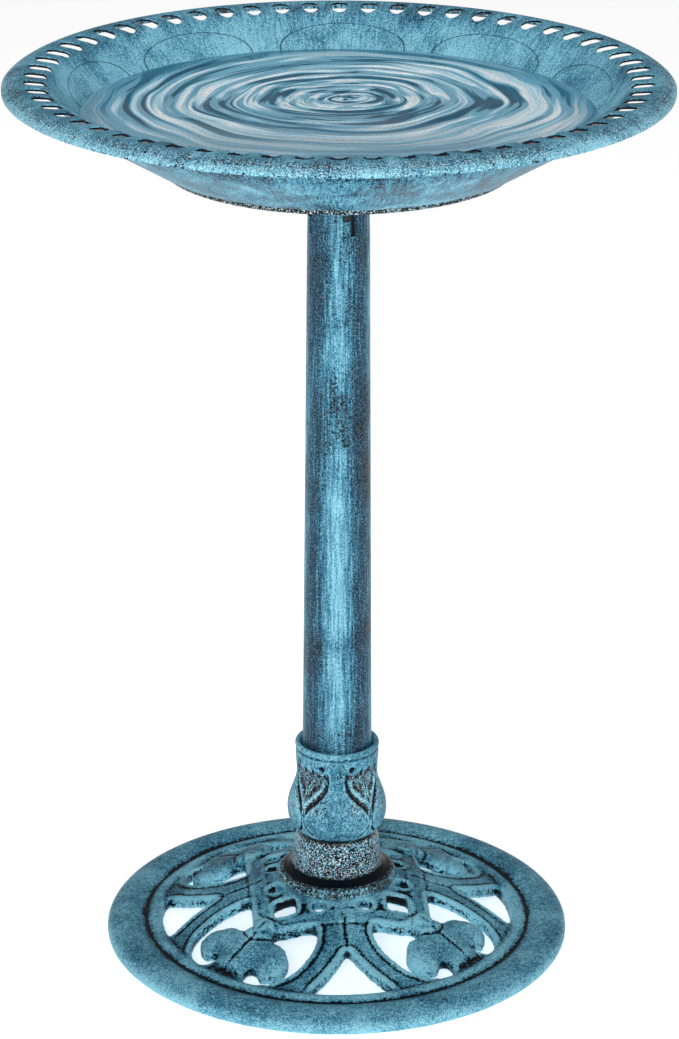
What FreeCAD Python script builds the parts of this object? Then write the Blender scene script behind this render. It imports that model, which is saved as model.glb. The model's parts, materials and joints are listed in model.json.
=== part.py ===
"""Bird bath with a rimmed basin, a tapered column, a leaf collar and an openwork base.

The origin is on the axis at ground level and +Z is up.  Every size is a cell of
the "Sizes" sheet, in millimetres or degrees, and every sub-part reads that sheet.
"""
import FreeCAD, Part
import math
import os
import re
import Sketcher

os.makedirs("parts", exist_ok=True)
doc = FreeCAD.newDocument("BirdBath")
sheet = doc.addObject("Spreadsheet::Sheet", "Sizes")

SIZES = [
    # whole object
    ("overall_height", 709.3, "ground to the crest of the basin rim"),
    ("fit_gap", 0.3, "clearance between pieces that slide past each other"),
    ("snug_gap", 0.05, "radial clearance of a screw or a plug in its bore"),
    # basin
    ("basin_radius", 251.5, "outer edge of the lip"),
    ("basin_wall", 2.4, "wall of the bowl and of the rim"),
    ("floor_wall", 3.2, "thickness of the flat floor"),
    ("floor_radius", 136.0, "flat part of the floor, inside"),
    ("flank_angle", 31.0, "slope of the lower bowl wall"),
    ("shoulder_angle", 65.0, "slope of the bowl wall where it meets the rim"),
    ("shoulder_sweep", 70.0, "radius of the wall between those two slopes"),
    ("rim_width", 35.7, "radial width of the whole rim"),
    ("crest_inset", 15.1, "crest of the rim, measured in from the lip"),
    ("crest_rise", 2.2, "crest above the inner end of the rim"),
    ("lip_drop", 6.3, "top edge of the lip below the crest"),
    ("lip_height", 3.0, "height of the turned-down lip edge"),
    ("slot_count", 60, "openings round the rim"),
    ("slot_length", 18.5, "radial length of an opening"),
    ("slot_width", 13.2, "width of an opening"),
    ("slot_inset", 16.2, "outer end of an opening, measured in from the lip"),
    ("ring_radius", 133.1, "outside of the foot ring under the bowl"),
    ("ring_width", 7.0, "radial width of the foot ring"),
    ("ring_drop", 2.7, "foot ring below the underside of the floor"),
    ("groove_height", 1.7, "groove between foot ring and bowl wall"),
    # twist lock between basin and column
    ("boss_height", 8.0, "screw bosses under the floor"),
    ("boss_radius", 6.0, "outside of a screw boss"),
    ("boss_circle", 32.0, "radius of the circle of bosses"),
    ("plug_flange_radius", 40.0, "flange of the lock plug"),
    ("plug_flange", 4.0, "thickness of that flange"),
    ("plug_wall", 3.0, "wall of the lock plug"),
    ("plug_reach", 44.0, "lock plug below its flange"),
    ("lug_radius", 1.9, "lock lug, a round peg"),
    ("lug_drop", 25.7, "lug axis below the top of the column"),
    ("slit_depth", 40.0, "lock slit, from the top of the column"),
    ("lock_angle", 14.0, "turn between locked and free"),
    ("lock_azimuth", 298.0, "direction of the first slit"),
    ("screw_radius", 2.0, "shank of the small screws"),
    ("screw_head_radius", 3.8, "head of the small screws"),
    ("screw_head", 2.4, "height of that head"),
    ("screw_bite", 6.0, "thread of a small screw in its boss"),
    # column
    ("column_foot_radius", 28.45, "outside of the tube at its foot"),
    ("column_top_radius", 23.55, "outside of the tube at its top"),
    ("column_wall", 3.0, "wall of the tube"),
    ("foot_plug_height", 30.0, "plug in the foot of the tube"),
    ("nut_seat", 16.0, "floor of the plug under the nut"),
    # collar
    ("collar_height", 122.5, "collar from the hub to its lip"),
    ("collar_floor", 4.0, "floor that the column stands on"),
    ("collar_seat", 24.0, "depth of the close-fitting seat above that floor"),
    ("bore_out", 1.15, "bore above the seat, outside the foot of the column"),
    ("bore_lead", 2.0, "lead-in at the mouth of the bore and above the seat"),
    ("flange_out", 19.05, "foot flange of the collar, outside the foot of the column"),
    ("flange_height", 8.0, "top of the flange above the hub"),
    ("flange_edge", 5.0, "top of its upright edge"),
    ("flange_round", 3.5, "rounding of that edge"),
    ("flange_chamfer", 1.0, "broken corner at its foot"),
    ("cove_bend", 16.0, "hollow sweep from the flange to the bell"),
    ("bell_out", 6.75, "foot of the bell above the flange, likewise"),
    ("bell_level", 13.0, "height of the foot of the bell"),
    ("bell_bend", 60.0, "swell of the bell"),
    ("neck_out", 2.75, "groove between bell and bulge, likewise"),
    ("neck_level", 43.0, "height of that groove"),
    ("neck_half", 3.0, "half height of that groove"),
    ("bulge_out", 9.95, "widest part of the leaf bulge, likewise"),
    ("bulge_level", 61.0, "height of that largest radius"),
    ("bulge_foot_bend", 24.0, "swell of the leaf bulge below it"),
    ("bulge_top_bend", 45.0, "hollow sweep from the bulge to the waist"),
    ("waist_out", 3.3, "waist above the bulge, likewise"),
    ("waist_level", 90.0, "height of the waist"),
    ("waist_bend", 40.0, "hollow sweep from the waist to the cup"),
    ("cup_out", 4.6, "cup that rings the column, likewise"),
    ("cup_level", 105.0, "height of the foot of the cup"),
    ("cup_lip", 5.0, "rolled lip of the cup, below its top"),
    ("cup_groove", 1.2, "depth of the groove under that lip"),
    ("cup_lip_round", 2.5, "rounding of that lip"),
    # base
    ("base_radius", 185.7, "outer edge of the base ring"),
    ("base_edge", 8.0, "height of the rounded outer edge"),
    ("band_height", 15.0, "top of the broad ring band"),
    ("ring_inner_radius", 141.0, "inner edge of the base ring"),
    ("bead_width", 12.0, "bead along the inner edge"),
    ("bead_height", 14.0, "top of that bead"),
    ("base_wall", 4.5, "wall of the hollow ring"),
    ("hub_height", 46.0, "top of the hub"),
    ("hub_margin", 2.5, "flat part of the hub outside the flange"),
    ("groove_sink", 3.0, "groove beside the bead, below its top"),
    ("groove_width", 2.5, "width of that groove"),
    ("edge_bend", 1.5, "rounding at the foot of the outer edge"),
    ("shoulder_rise", 3.0, "band's outer shoulder above the rounded edge"),
    ("shoulder_inset", 4.0, "that shoulder, measured in from the outer edge"),
    ("web_sink", 2.0, "openwork below the top of the bead, where they meet"),
    ("web_thickness", 10.0, "depth of the openwork bars"),
    ("strap_half", 71.0, "half side of the square strap round the hub"),
    ("arm_gap_tip", 95.0, "inner end of the gap between two arms, from the axis"),
    ("arm_gap_bend", 114.0, "where its edges turn outwards, from the axis"),
    ("arm_gap_neck", 12.0, "half width of the gap at that bend"),
    ("arm_gap_spread", 14.2, "angle from the gap's axis to its foot at the ring"),
    ("hub_hole_radius", 5.8, "round holes beside the flange"),
    ("hub_hole_circle", 53.5, "radius of the circle of those holes"),
    ("hub_hole_offset", 19.5, "angle of a hole from its arm axis"),
    ("square_hole", 17.0, "side of the square openings"),
    ("square_circle", 64.0, "radius of the circle of those openings"),
    ("arm_azimuth", 275.0, "direction of the first pair of arms"),
    # centre bolt
    ("bolt_radius", 4.0, "shank of the centre bolt"),
    ("bolt_flats", 13.0, "hexagon across flats"),
    ("bolt_head", 5.3, "height of the bolt head"),
    ("bolt_end", 4.0, "bolt standing past its nut"),
    ("nut_height", 6.5, "height of the nut"),
    ("washer_radius", 12.0, "outside of the washer"),
    ("washer_height", 2.0, "thickness of the washer"),
    ("collar_screw_inset", 6.5, "collar screws, in from the edge of the flange"),
    ("collar_screw_bite", 5.5, "thread of a collar screw in the flange"),
]
for row, (name, value, note) in enumerate(SIZES, start=1):
    sheet.set(f"A{row}", name)
    sheet.set(f"B{row}", str(value))
    sheet.set(f"C{row}", note)
    sheet.setAlias(f"B{row}", name)
doc.recompute()

ALIAS = re.compile(r"\b(" + "|".join(name for name, _, _ in SIZES) + r")\b")


def bound(expression):
    """Expression with each sheet alias written in full."""
    return ALIAS.sub(r"Sizes.\1", expression)


def size(expression):
    """Value of an expression of sheet aliases, as a plain number."""
    value = sheet.evalExpression(bound(expression))
    return float(getattr(value, "Value", value))


def bind(feature, **expressions):
    """Tie properties of a feature to expressions of sheet aliases."""
    for prop, expression in expressions.items():
        feature.setExpression(prop, bound(expression))


# ---------------------------------------------------------------- shared heights and radii
FLANK = "(flank_angle * 1deg)"
SHOULDER = "(shoulder_angle * 1deg)"
SWEEP_RUN = f"(shoulder_sweep * (sin({SHOULDER}) - sin({FLANK})))"
SWEEP_RISE = f"(shoulder_sweep * (cos({FLANK}) - cos({SHOULDER})))"
RIM_INNER = "(basin_radius - rim_width)"
RIM_INNER_Z = "(overall_height - crest_rise)"
FLANK_TOP = f"({RIM_INNER} - {SWEEP_RUN})"
FLANK_TOP_Z = f"({RIM_INNER_Z} - {SWEEP_RISE})"
FLOOR_TOP = f"({FLANK_TOP_Z} - ({FLANK_TOP} - floor_radius) * tan({FLANK}))"
FLOOR_UNDER = f"({FLOOR_TOP} - floor_wall)"
RING_BOTTOM = f"({FLOOR_UNDER} - ring_drop)"
PLUG_TOP = f"({FLOOR_UNDER} - boss_height)"
COLUMN_TOP = f"({PLUG_TOP} - plug_flange - fit_gap)"
COLUMN_FOOT = "(hub_height + collar_floor)"
LUG_Z = f"({COLUMN_TOP} - lug_drop)"
PLUG_RADIUS = "(column_top_radius - column_wall - fit_gap)"
COLLAR_BORE = "(column_foot_radius + bore_out)"
FLANGE = "(column_foot_radius + flange_out)"
BELL = "(column_foot_radius + bell_out)"
NECK = "(column_foot_radius + neck_out)"
BULGE = "(column_foot_radius + bulge_out)"
WAIST = "(column_foot_radius + waist_out)"
CUP = "(column_foot_radius + cup_out)"
HUB_RADIUS = f"({FLANGE} + hub_margin)"
COLLAR_SCREW_CIRCLE = f"({FLANGE} - collar_screw_inset)"


def column_radius(height):
    """Outside radius of the tapered tube at a height, as an expression."""
    taper = f"(column_foot_radius - column_top_radius) / ({COLUMN_TOP} - {COLUMN_FOOT})"
    return f"(column_foot_radius - ({height} - {COLUMN_FOOT}) * {taper})"


# ---------------------------------------------------------------- drawing helpers
def origin_plane(body, role):
    """Origin plane of a body by its role, such as XZ_Plane."""
    return next(item for item in body.Origin.OriginFeatures if item.Role == role)


def new_sketch(body, name, role="XZ_Plane"):
    sketch = body.newObject("Sketcher::SketchObject", name)
    sketch.AttachmentSupport = [(origin_plane(body, role), "")]
    sketch.MapMode = "FlatFace"
    return sketch


def fix_point(sketch, geometry, corner, point):
    """Tie one end of an edge to the expressions of a corner."""
    rules = (("DistanceX", point[0], -2), ("DistanceY", point[1], -1))
    for kind, expression, axis in rules:
        value = size(expression)
        if abs(value) < 1e-9:
            sketch.addConstraint(Sketcher.Constraint("PointOnObject", geometry, corner, axis))
            continue
        rule = Sketcher.Constraint(kind, -1, 1, geometry, corner, value)
        index = sketch.addConstraint(rule)
        sketch.setExpression(f"Constraints[{index}]", bound(expression))


def arc_between(start, end, radius, turn):
    """Arc from start to end; turn is +1 where it runs anticlockwise."""
    chord = end - start
    half = chord.Length / 2
    rise = math.sqrt(max(radius * radius - half * half, 0.0))
    normal = FreeCAD.Vector(-chord.y, chord.x, 0).normalize()
    centre = (start + end) / 2 + normal * rise * turn
    first, last = (start, end) if turn > 0 else (end, start)
    angles = [math.atan2(point.y - centre.y, point.x - centre.x) for point in (first, last)]
    circle = Part.Circle(centre, FreeCAD.Vector(0, 0, 1), radius)
    return Part.ArcOfCircle(circle, angles[0], angles[1])


def draw_outline(sketch, outline):
    """Closed outline of (x, y) corners; a third and fourth item make an arc to the next corner."""
    corners = [FreeCAD.Vector(size(item[0]), size(item[1]), 0) for item in outline]
    ends = []
    for index, item in enumerate(outline):
        start = corners[index]
        end = corners[(index + 1) % len(outline)]
        if len(item) == 2:
            edge = sketch.addGeometry(Part.LineSegment(start, end))
            ends.append((edge, 1, 2))
            continue
        edge = sketch.addGeometry(arc_between(start, end, size(item[2]), item[3]))
        ends.append((edge, 1, 2) if item[3] > 0 else (edge, 2, 1))
        rule = sketch.addConstraint(Sketcher.Constraint("Radius", edge, size(item[2])))
        sketch.setExpression(f"Constraints[{rule}]", bound(item[2]))
    for index, (edge, _, last) in enumerate(ends):
        following, first, _ = ends[(index + 1) % len(ends)]
        sketch.addConstraint(Sketcher.Constraint("Coincident", edge, last, following, first))
    for (edge, first, _), item in zip(ends, outline):
        fix_point(sketch, edge, first, item)
    return sketch


def turned_body(name, outline):
    """Body turned round the Z axis from an outline of (radius, height) corners."""
    body = doc.addObject("PartDesign::Body", name)
    body.Label = name
    sketch = draw_outline(new_sketch(body, name + "_outline"), outline)
    turning = body.newObject("PartDesign::Revolution", name + "_turning")
    turning.Profile = sketch
    turning.ReferenceAxis = (sketch, ["V_Axis"])
    turning.Angle = 360
    return body


def polar_copies(body, feature, count):
    """Repeat a feature evenly round the Z axis."""
    pattern = body.newObject("PartDesign::PolarPattern", feature.Name + "_round")
    pattern.Originals = [feature]
    axis = next(item for item in body.Origin.OriginFeatures if item.Role == "Z_Axis")
    pattern.Axis = (axis, [""])
    pattern.Angle = 360
    bind(pattern, Occurrences=count)
    body.Tip = pattern
    return pattern


def primitive(kind, name, height_at="0", **expressions):
    """Part primitive bound to the sheet, standing at a height on the axis."""
    piece = doc.addObject("Part::" + kind, name)
    bind(piece, **expressions)
    piece.setExpression(".Placement.Base.z", bound(height_at))
    return piece


def join(kind, name, *pieces):
    """Part::MultiFuse of pieces, or Part::Cut of two."""
    result = doc.addObject("Part::" + kind, name)
    if kind == "Cut":
        result.Base, result.Tool = pieces
    else:
        result.Shapes = list(pieces)
    result.Label = name
    return result


def ring_of(name, piece, count, radius, azimuth):
    """Separate copies of a piece round the axis, in one compound."""
    group = doc.addObject("Part::Feature", name)
    group.Label = name
    doc.recompute()
    copies = []
    for index in range(count):
        copy = piece.Shape.copy()
        copy.translate(FreeCAD.Vector(size(radius), 0, 0))
        angle = size(azimuth) + index * 360.0 / count
        copy.rotate(FreeCAD.Vector(0, 0, 0), FreeCAD.Vector(0, 0, 1), angle)
        copies.append(copy)
    group.Shape = Part.makeCompound(copies)
    return group


def round_pocket(body, name, plane_z, places, radius, depth):
    """Blind round holes upwards from a level, at (x, y) places."""
    sketch = new_sketch(body, name + "_circles", "XY_Plane")
    sketch.setExpression(".AttachmentOffset.Base.z", bound(plane_z))
    for place in places:
        centre = FreeCAD.Vector(size(place[0]), size(place[1]), 0)
        circle = sketch.addGeometry(Part.Circle(centre, FreeCAD.Vector(0, 0, 1), size(radius)))
        rule = sketch.addConstraint(Sketcher.Constraint("Radius", circle, size(radius)))
        sketch.setExpression(f"Constraints[{rule}]", bound(radius))
        fix_point(sketch, circle, 3, place)
    pocket = body.newObject("PartDesign::Pocket", name)
    pocket.Profile = sketch
    pocket.Reversed = True
    bind(pocket, Length=depth)
    body.Tip = pocket
    return pocket


def turn_body(body, azimuth):
    """Turn a whole body round the Z axis."""
    body.Placement.Rotation = FreeCAD.Rotation(FreeCAD.Vector(0, 0, 1), 1)
    body.setExpression(".Placement.Rotation.Angle", bound(azimuth))


def spot(radius, azimuth):
    """Place at a radius and azimuth, as a pair of expressions."""
    return (f"{radius} * cos(({azimuth}) * 1deg)", f"{radius} * sin(({azimuth}) * 1deg)")


# ---------------------------------------------------------------- basin
def make_basin():
    """Bowl, slotted rim, turned-down lip, foot ring and screw boss in one moulding."""
    crest = "(basin_radius - crest_inset)"
    lean = (f"basin_wall * sin({FLANK})", f"basin_wall * cos({FLANK})")
    lean_top = (f"basin_wall * sin({SHOULDER})", f"basin_wall * cos({SHOULDER})")
    flank_foot = f"({FLOOR_UNDER} + ring_drop)"
    foot_run = f"(floor_radius + {lean[0]} + ({flank_foot} - {FLOOR_TOP} + {lean[1]}) / tan({FLANK}))"
    lip_bend = "(crest_inset ^ 2 + lip_drop ^ 2) / (2 * lip_drop)"
    ring_inner = "ring_radius - ring_width"
    lip_top = "overall_height - lip_drop"
    lip_bottom = f"{lip_top} - lip_height"
    outline = [
        ("0", FLOOR_UNDER),
        ("boss_circle - boss_radius", FLOOR_UNDER),
        ("boss_circle - boss_radius", PLUG_TOP),
        ("boss_circle + boss_radius", PLUG_TOP),
        ("boss_circle + boss_radius", FLOOR_UNDER),
        (ring_inner, FLOOR_UNDER),
        (ring_inner, RING_BOTTOM),
        ("ring_radius", RING_BOTTOM),
        ("ring_radius", f"{FLOOR_UNDER} + groove_height"),
        (foot_run, flank_foot),
        (f"{FLANK_TOP} + {lean[0]}", f"{FLANK_TOP_Z} - {lean[1]}", "shoulder_sweep + basin_wall", 1),
        (f"{RIM_INNER} + {lean_top[0]}", f"{RIM_INNER_Z} - {lean_top[1]}"),
        (crest, "overall_height - basin_wall", f"{lip_bend} - basin_wall", -1),
        ("basin_radius - basin_wall", lip_bottom),
        ("basin_radius", lip_bottom),
        ("basin_radius", lip_top, lip_bend, 1),
        (crest, "overall_height"),
        (RIM_INNER, RIM_INNER_Z, "shoulder_sweep", -1),
        (FLANK_TOP, FLANK_TOP_Z),
        ("floor_radius", FLOOR_TOP),
        ("0", FLOOR_TOP),
    ]
    body = turned_body("basin", outline)
    first = "lock_azimuth - lock_angle - 225"
    places = [spot("boss_circle", f"{first} + {90 * index}") for index in range(4)]
    round_pocket(body, "boss_holes", PLUG_TOP, places, "screw_radius + snug_gap",
                 "screw_bite + fit_gap")
    sketch = new_sketch(body, "rim_slot_outline", "XY_Plane")
    sketch.setExpression(".AttachmentOffset.Base.z", bound("overall_height"))
    end_bend = "slot_width * 0.51"
    end_reach = "slot_width * 0.41"
    outer = f"(basin_radius - slot_inset - {end_reach})"
    inner = f"(basin_radius - slot_inset - slot_length + {end_reach})"
    draw_outline(sketch, [
        (inner, "-slot_width / 2"),
        (outer, "-slot_width / 2", end_bend, 1),
        (outer, "slot_width / 2"),
        (inner, "slot_width / 2", end_bend, 1),
    ])
    slot = body.newObject("PartDesign::Pocket", "rim_slot")
    slot.Profile = sketch
    bind(slot, Length="crest_rise + basin_wall * 1.6")
    body.Tip = slot
    polar_copies(body, slot, "slot_count")
    return body


# ---------------------------------------------------------------- twist lock
def make_lock_plug():
    """Cup under the basin, with a flange and four round lugs that enter the column's slits."""
    under = f"({PLUG_TOP} - plug_flange)"
    foot = f"({under} - plug_reach)"
    inside = f"({PLUG_RADIUS} - plug_wall)"
    body = turned_body("basin_lock_plug", [
        ("0", under),
        (inside, under),
        (inside, foot),
        (PLUG_RADIUS, foot),
        (PLUG_RADIUS, under),
        ("plug_flange_radius", under),
        ("plug_flange_radius", PLUG_TOP),
        ("0", PLUG_TOP),
    ])
    sketch = new_sketch(body, "lug_circle")
    sketch.setExpression(".AttachmentOffset.Base.z", bound(f"{PLUG_RADIUS} - plug_wall / 2"))
    circle = Part.Circle(FreeCAD.Vector(0, size(LUG_Z), 0), FreeCAD.Vector(0, 0, 1), size("lug_radius"))
    edge = sketch.addGeometry(circle)
    rule = sketch.addConstraint(Sketcher.Constraint("Radius", edge, size("lug_radius")))
    sketch.setExpression(f"Constraints[{rule}]", bound("lug_radius"))
    fix_point(sketch, edge, 3, ("0", LUG_Z))
    lug = body.newObject("PartDesign::Pad", "lug")
    lug.Profile = sketch
    bind(lug, Length="plug_wall / 2 + column_wall")
    body.Tip = lug
    polar_copies(body, lug, "4")
    places = [spot("boss_circle", f"45 + {90 * index}") for index in range(4)]
    round_pocket(body, "flange_holes", under, places, "screw_radius + snug_gap", "plug_flange")
    turn_body(body, "lock_azimuth - lock_angle - 270")
    return body


def make_small_screw(name, head_z, shank):
    """Pan screw standing head down, as a template for a ring of screws."""
    head = primitive("Cylinder", name + "_head", f"{head_z} - screw_head",
                     Radius="screw_head_radius", Height="screw_head")
    thread = primitive("Cylinder", name + "_shank", f"{head_z} - screw_head / 2",
                       Radius="screw_radius", Height=f"{shank} + screw_head / 2")
    return join("MultiFuse", name + "_template", head, thread)


def make_lock_screws():
    """Four screws that hold the lock plug to the boss under the basin."""
    template = make_small_screw("lock_screw", f"{PLUG_TOP} - plug_flange", "plug_flange + screw_bite")
    return ring_of("basin_lock_screws", template, 4, "boss_circle", "lock_azimuth - lock_angle - 225")


# ---------------------------------------------------------------- column
def make_column():
    """Tapered tube with four lock slits at its top."""
    body = turned_body("column_tube", [
        ("column_foot_radius - column_wall", COLUMN_FOOT),
        ("column_foot_radius", COLUMN_FOOT),
        ("column_top_radius", COLUMN_TOP),
        ("column_top_radius - column_wall", COLUMN_TOP),
    ])
    half = "(lug_radius + fit_gap)"
    run = f"(column_top_radius * sin(lock_angle * 1deg) + {half} + fit_gap)"
    sketch = new_sketch(body, "lock_slit_outline")
    draw_outline(sketch, [
        (f"-{half}", f"{COLUMN_TOP} - slit_depth"),
        (half, f"{COLUMN_TOP} - slit_depth"),
        (half, f"{COLUMN_TOP} + column_wall"),
        (f"-{half}", f"{COLUMN_TOP} + column_wall"),
        (f"-{half}", f"{LUG_Z} + {half}"),
        (f"-{run}", f"{LUG_Z} + {half}"),
        (f"-{run}", f"{LUG_Z} - {half}"),
        (f"-{half}", f"{LUG_Z} - {half}"),
    ])
    slit = body.newObject("PartDesign::Pocket", "lock_slit")
    slit.Profile = sketch
    slit.Reversed = True
    bind(slit, Length="column_foot_radius")
    body.Tip = slit
    polar_copies(body, slit, "4")
    turn_body(body, "lock_azimuth - 270")
    return body


def make_foot_plug():
    """Tapered plug in the foot of the tube, with a bolt bore and a hexagonal nut pocket."""
    foot = f"{column_radius(COLUMN_FOOT)} - column_wall - snug_gap"
    top = f"{column_radius('(' + COLUMN_FOOT + ' + foot_plug_height)')} - column_wall - snug_gap"
    cone = primitive("Cone", "foot_plug_cone", COLUMN_FOOT,
                     Radius1=foot, Radius2=top, Height="foot_plug_height")
    bore = primitive("Cylinder", "foot_plug_bore", COLUMN_FOOT,
                     Radius="bolt_radius + fit_gap", Height="foot_plug_height")
    pocket = primitive("Prism", "foot_plug_pocket", f"{COLUMN_FOOT} + nut_seat",
                       Circumradius="(bolt_flats / 2 + snug_gap) / cos(30deg)",
                       Height="foot_plug_height")
    bored = join("Cut", "foot_plug_bored", cone, bore)
    return join("Cut", "column_foot_plug", bored, pocket)


# ---------------------------------------------------------------- centre bolt
def make_nut():
    seat = f"{COLUMN_FOOT} + nut_seat"
    block = primitive("Prism", "nut_block", seat, Circumradius="bolt_flats / 2 / cos(30deg)",
                      Height="nut_height")
    bore = primitive("Cylinder", "nut_bore", seat, Radius="bolt_radius + snug_gap",
                     Height="nut_height")
    return join("Cut", "column_nut", block, bore)


def make_washer():
    under = "hub_height - web_thickness - washer_height"
    disc = primitive("Cylinder", "washer_disc", under, Radius="washer_radius",
                     Height="washer_height")
    bore = primitive("Cylinder", "washer_bore", under, Radius="bolt_radius + fit_gap",
                     Height="washer_height")
    return join("Cut", "centre_washer", disc, bore)


def make_bolt():
    """Hexagon bolt from under the hub, through the collar floor, into the column nut."""
    head_z = "hub_height - web_thickness - washer_height - bolt_head"
    top = f"({COLUMN_FOOT} + nut_seat + nut_height + bolt_end)"
    head = primitive("Prism", "bolt_head_block", head_z, Circumradius="bolt_flats / 2 / cos(30deg)",
                     Height="bolt_head")
    shank = primitive("Cylinder", "bolt_shank", head_z, Radius="bolt_radius",
                      Height=f"{top} - ({head_z})")
    return join("MultiFuse", "centre_bolt", head, shank)


# ---------------------------------------------------------------- collar
def make_collar():
    """Turned socket: foot flange, bell, leaf bulge, waist and the cup round the column."""
    top = "(hub_height + collar_height)"
    floor = COLUMN_FOOT
    seat = f"{column_radius(COLUMN_FOOT)} + snug_gap"
    groove_top = f"{top} - cup_lip - cup_groove"
    body = turned_body("collar", [
        ("bolt_radius + fit_gap", "hub_height"),
        (f"{FLANGE} - flange_chamfer", "hub_height"),
        (FLANGE, "hub_height + flange_chamfer"),
        (FLANGE, "hub_height + flange_edge", "flange_round", 1),
        (f"{FLANGE} - flange_round - flange_chamfer", "hub_height + flange_height", "cove_bend", -1),
        (BELL, "hub_height + bell_level", "bell_bend", 1),
        (f"{NECK} + cup_groove", "hub_height + neck_level - neck_half"),
        (NECK, "hub_height + neck_level"),
        (f"{NECK} + neck_half", "hub_height + neck_level + neck_half", "bulge_foot_bend", 1),
        (BULGE, "hub_height + bulge_level", "bulge_top_bend", -1),
        (WAIST, "hub_height + waist_level", "waist_bend", -1),
        (CUP, "hub_height + cup_level"),
        (CUP, f"{groove_top} - cup_groove"),
        (f"{CUP} - cup_groove", groove_top),
        (CUP, f"{top} - cup_lip", "cup_lip_round * 1.2", 1),
        (f"{CUP} - cup_lip_round", top),
        (COLLAR_BORE, f"{top} - bore_lead"),
        (COLLAR_BORE, f"{floor} + collar_seat + bore_lead"),
        (seat, f"{floor} + collar_seat"),
        (seat, floor),
        ("bolt_radius + fit_gap", floor),
    ])
    places = [spot(COLLAR_SCREW_CIRCLE, f"arm_azimuth + {45 + 90 * index}") for index in range(4)]
    round_pocket(body, "collar_holes", "hub_height", places, "screw_radius + snug_gap",
                 "collar_screw_bite + fit_gap")
    return body


def make_collar_screws():
    """Four screws from under the hub into the flange of the collar."""
    template = make_small_screw("collar_screw", "hub_height - web_thickness",
                                "web_thickness + collar_screw_bite")
    return ring_of("collar_screws", template, 4, COLLAR_SCREW_CIRCLE, "arm_azimuth + 45")


# ---------------------------------------------------------------- base
def point(radial, sideways=0.0, height=0.0):
    return FreeCAD.Vector(radial, sideways, height)


def arc(start, middle, end):
    return Part.Arc(start, middle, end).toShape()


def turned(edges):
    face = Part.Face(Part.Wire(edges))
    return face.revolve(FreeCAD.Vector(), FreeCAD.Vector(0, 0, 1), 360)


def section(radius, height):
    return FreeCAD.Vector(radius, 0, height)


def make_base_ring():
    """Hollow ring: rounded outer edge, broad band, groove and inner bead."""
    inner = size("ring_inner_radius")
    bead_end = inner + size("bead_width")
    outer = size("base_radius")
    edge = size("base_edge")
    band = size("band_height")
    bead = size("bead_height")
    wall = size("base_wall")
    bend = size("edge_bend")
    groove = bead - size("groove_sink")
    band_start = bead_end + size("groove_width")
    shoulder = outer - size("shoulder_inset")
    shoulder_top = edge + size("shoulder_rise")
    middle = (band_start + shoulder) / 2
    ceiling = groove - wall
    return turned([
        Part.makeLine(section(inner, 0), section(inner, groove)),
        arc(section(inner, groove), section((inner + bead_end) / 2, bead), section(bead_end, groove)),
        Part.makeLine(section(bead_end, groove), section(band_start, groove)),
        arc(section(band_start, groove), section(middle, band), section(shoulder, shoulder_top)),
        arc(section(shoulder, shoulder_top), section(outer, edge - bend), section(outer - bend, 0)),
        Part.makeLine(section(outer - bend, 0), section(outer - wall, 0)),
        Part.makeLine(section(outer - wall, 0), section(shoulder - wall, ceiling)),
        arc(section(shoulder - wall, ceiling), section(middle, band - wall),
            section(inner + wall, ceiling)),
        Part.makeLine(section(inner + wall, ceiling), section(inner + wall, 0)),
        Part.makeLine(section(inner + wall, 0), section(inner, 0)),
    ])


def make_web_cone():
    """Solid cone shell from the hub down to the ring, before the openings are cut."""
    hub = size(HUB_RADIUS)
    high = size("hub_height")
    deep = size("web_thickness")
    rim = size("ring_inner_radius") + size("base_wall") / 2
    low = size("bead_height") - size("web_sink")
    corners = [
        section(0, high),
        section(hub, high),
        section(rim, low),
        section(rim, low - deep),
        section(hub, high - deep),
        section(0, high - deep),
    ]
    return turned(Part.makePolygon(corners + corners[:1]).Edges)


def arm_gap():
    """Opening between the two arms of a pair, pointed at the hub, on the +X axis."""
    ring = size("ring_inner_radius")
    tip = point(size("arm_gap_tip"))
    spread = math.radians(size("arm_gap_spread"))
    foot = point(ring * math.cos(spread), ring * math.sin(spread))
    bend = point(size("arm_gap_bend"), size("arm_gap_neck"))
    return [
        arc(tip, bend, foot),
        arc(foot, point(ring), point(foot.x, -foot.y)),
        arc(point(foot.x, -foot.y), point(bend.x, -bend.y), tip),
    ]


# A scroll gap as shares of the ring's inner radius: (outwards, sideways) places that arcs run
# through.  The arm side is walked outwards first, then the hook, and the scroll's lobe inwards.
ARM_SIDE = ((0.487, 0.270), (0.600, 0.337), (0.738, 0.358), (0.894, 0.316), (0.977, 0.199))
HOOK = ((0.975, 0.142), (0.915, 0.108), (0.884, 0.124), (0.887, 0.163))
LOBE = ((0.904, 0.206), (0.890, 0.241), (0.801, 0.301), (0.716, 0.238), (0.683, 0.191), (0.691, 0.121))
# The gap's straight side lies along the strap, between the bud and the arm.
BUD_SHARE = 0.071
ARM_SHARE = 0.241


def scroll_gap(side):
    """Opening round one scroll of a pair, beside the +X axis; side is +1 or -1."""
    ring = size("ring_inner_radius")
    strap = size("strap_half") * math.sqrt(2)

    def on_strap(share):
        return point(strap - share * ring, share * ring * side)

    track = [point(outwards * ring, sideways * ring * side)
             for outwards, sideways in ARM_SIDE + HOOK + LOBE]
    edges = [Part.makeLine(on_strap(BUD_SHARE), on_strap(ARM_SHARE)),
             Part.makeLine(on_strap(ARM_SHARE), track[0])]
    for first in range(0, len(track) - 1, 2):
        edges.append(arc(*track[first:first + 3]))
    edges.append(Part.makeLine(track[-1], on_strap(BUD_SHARE)))
    return edges


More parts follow.
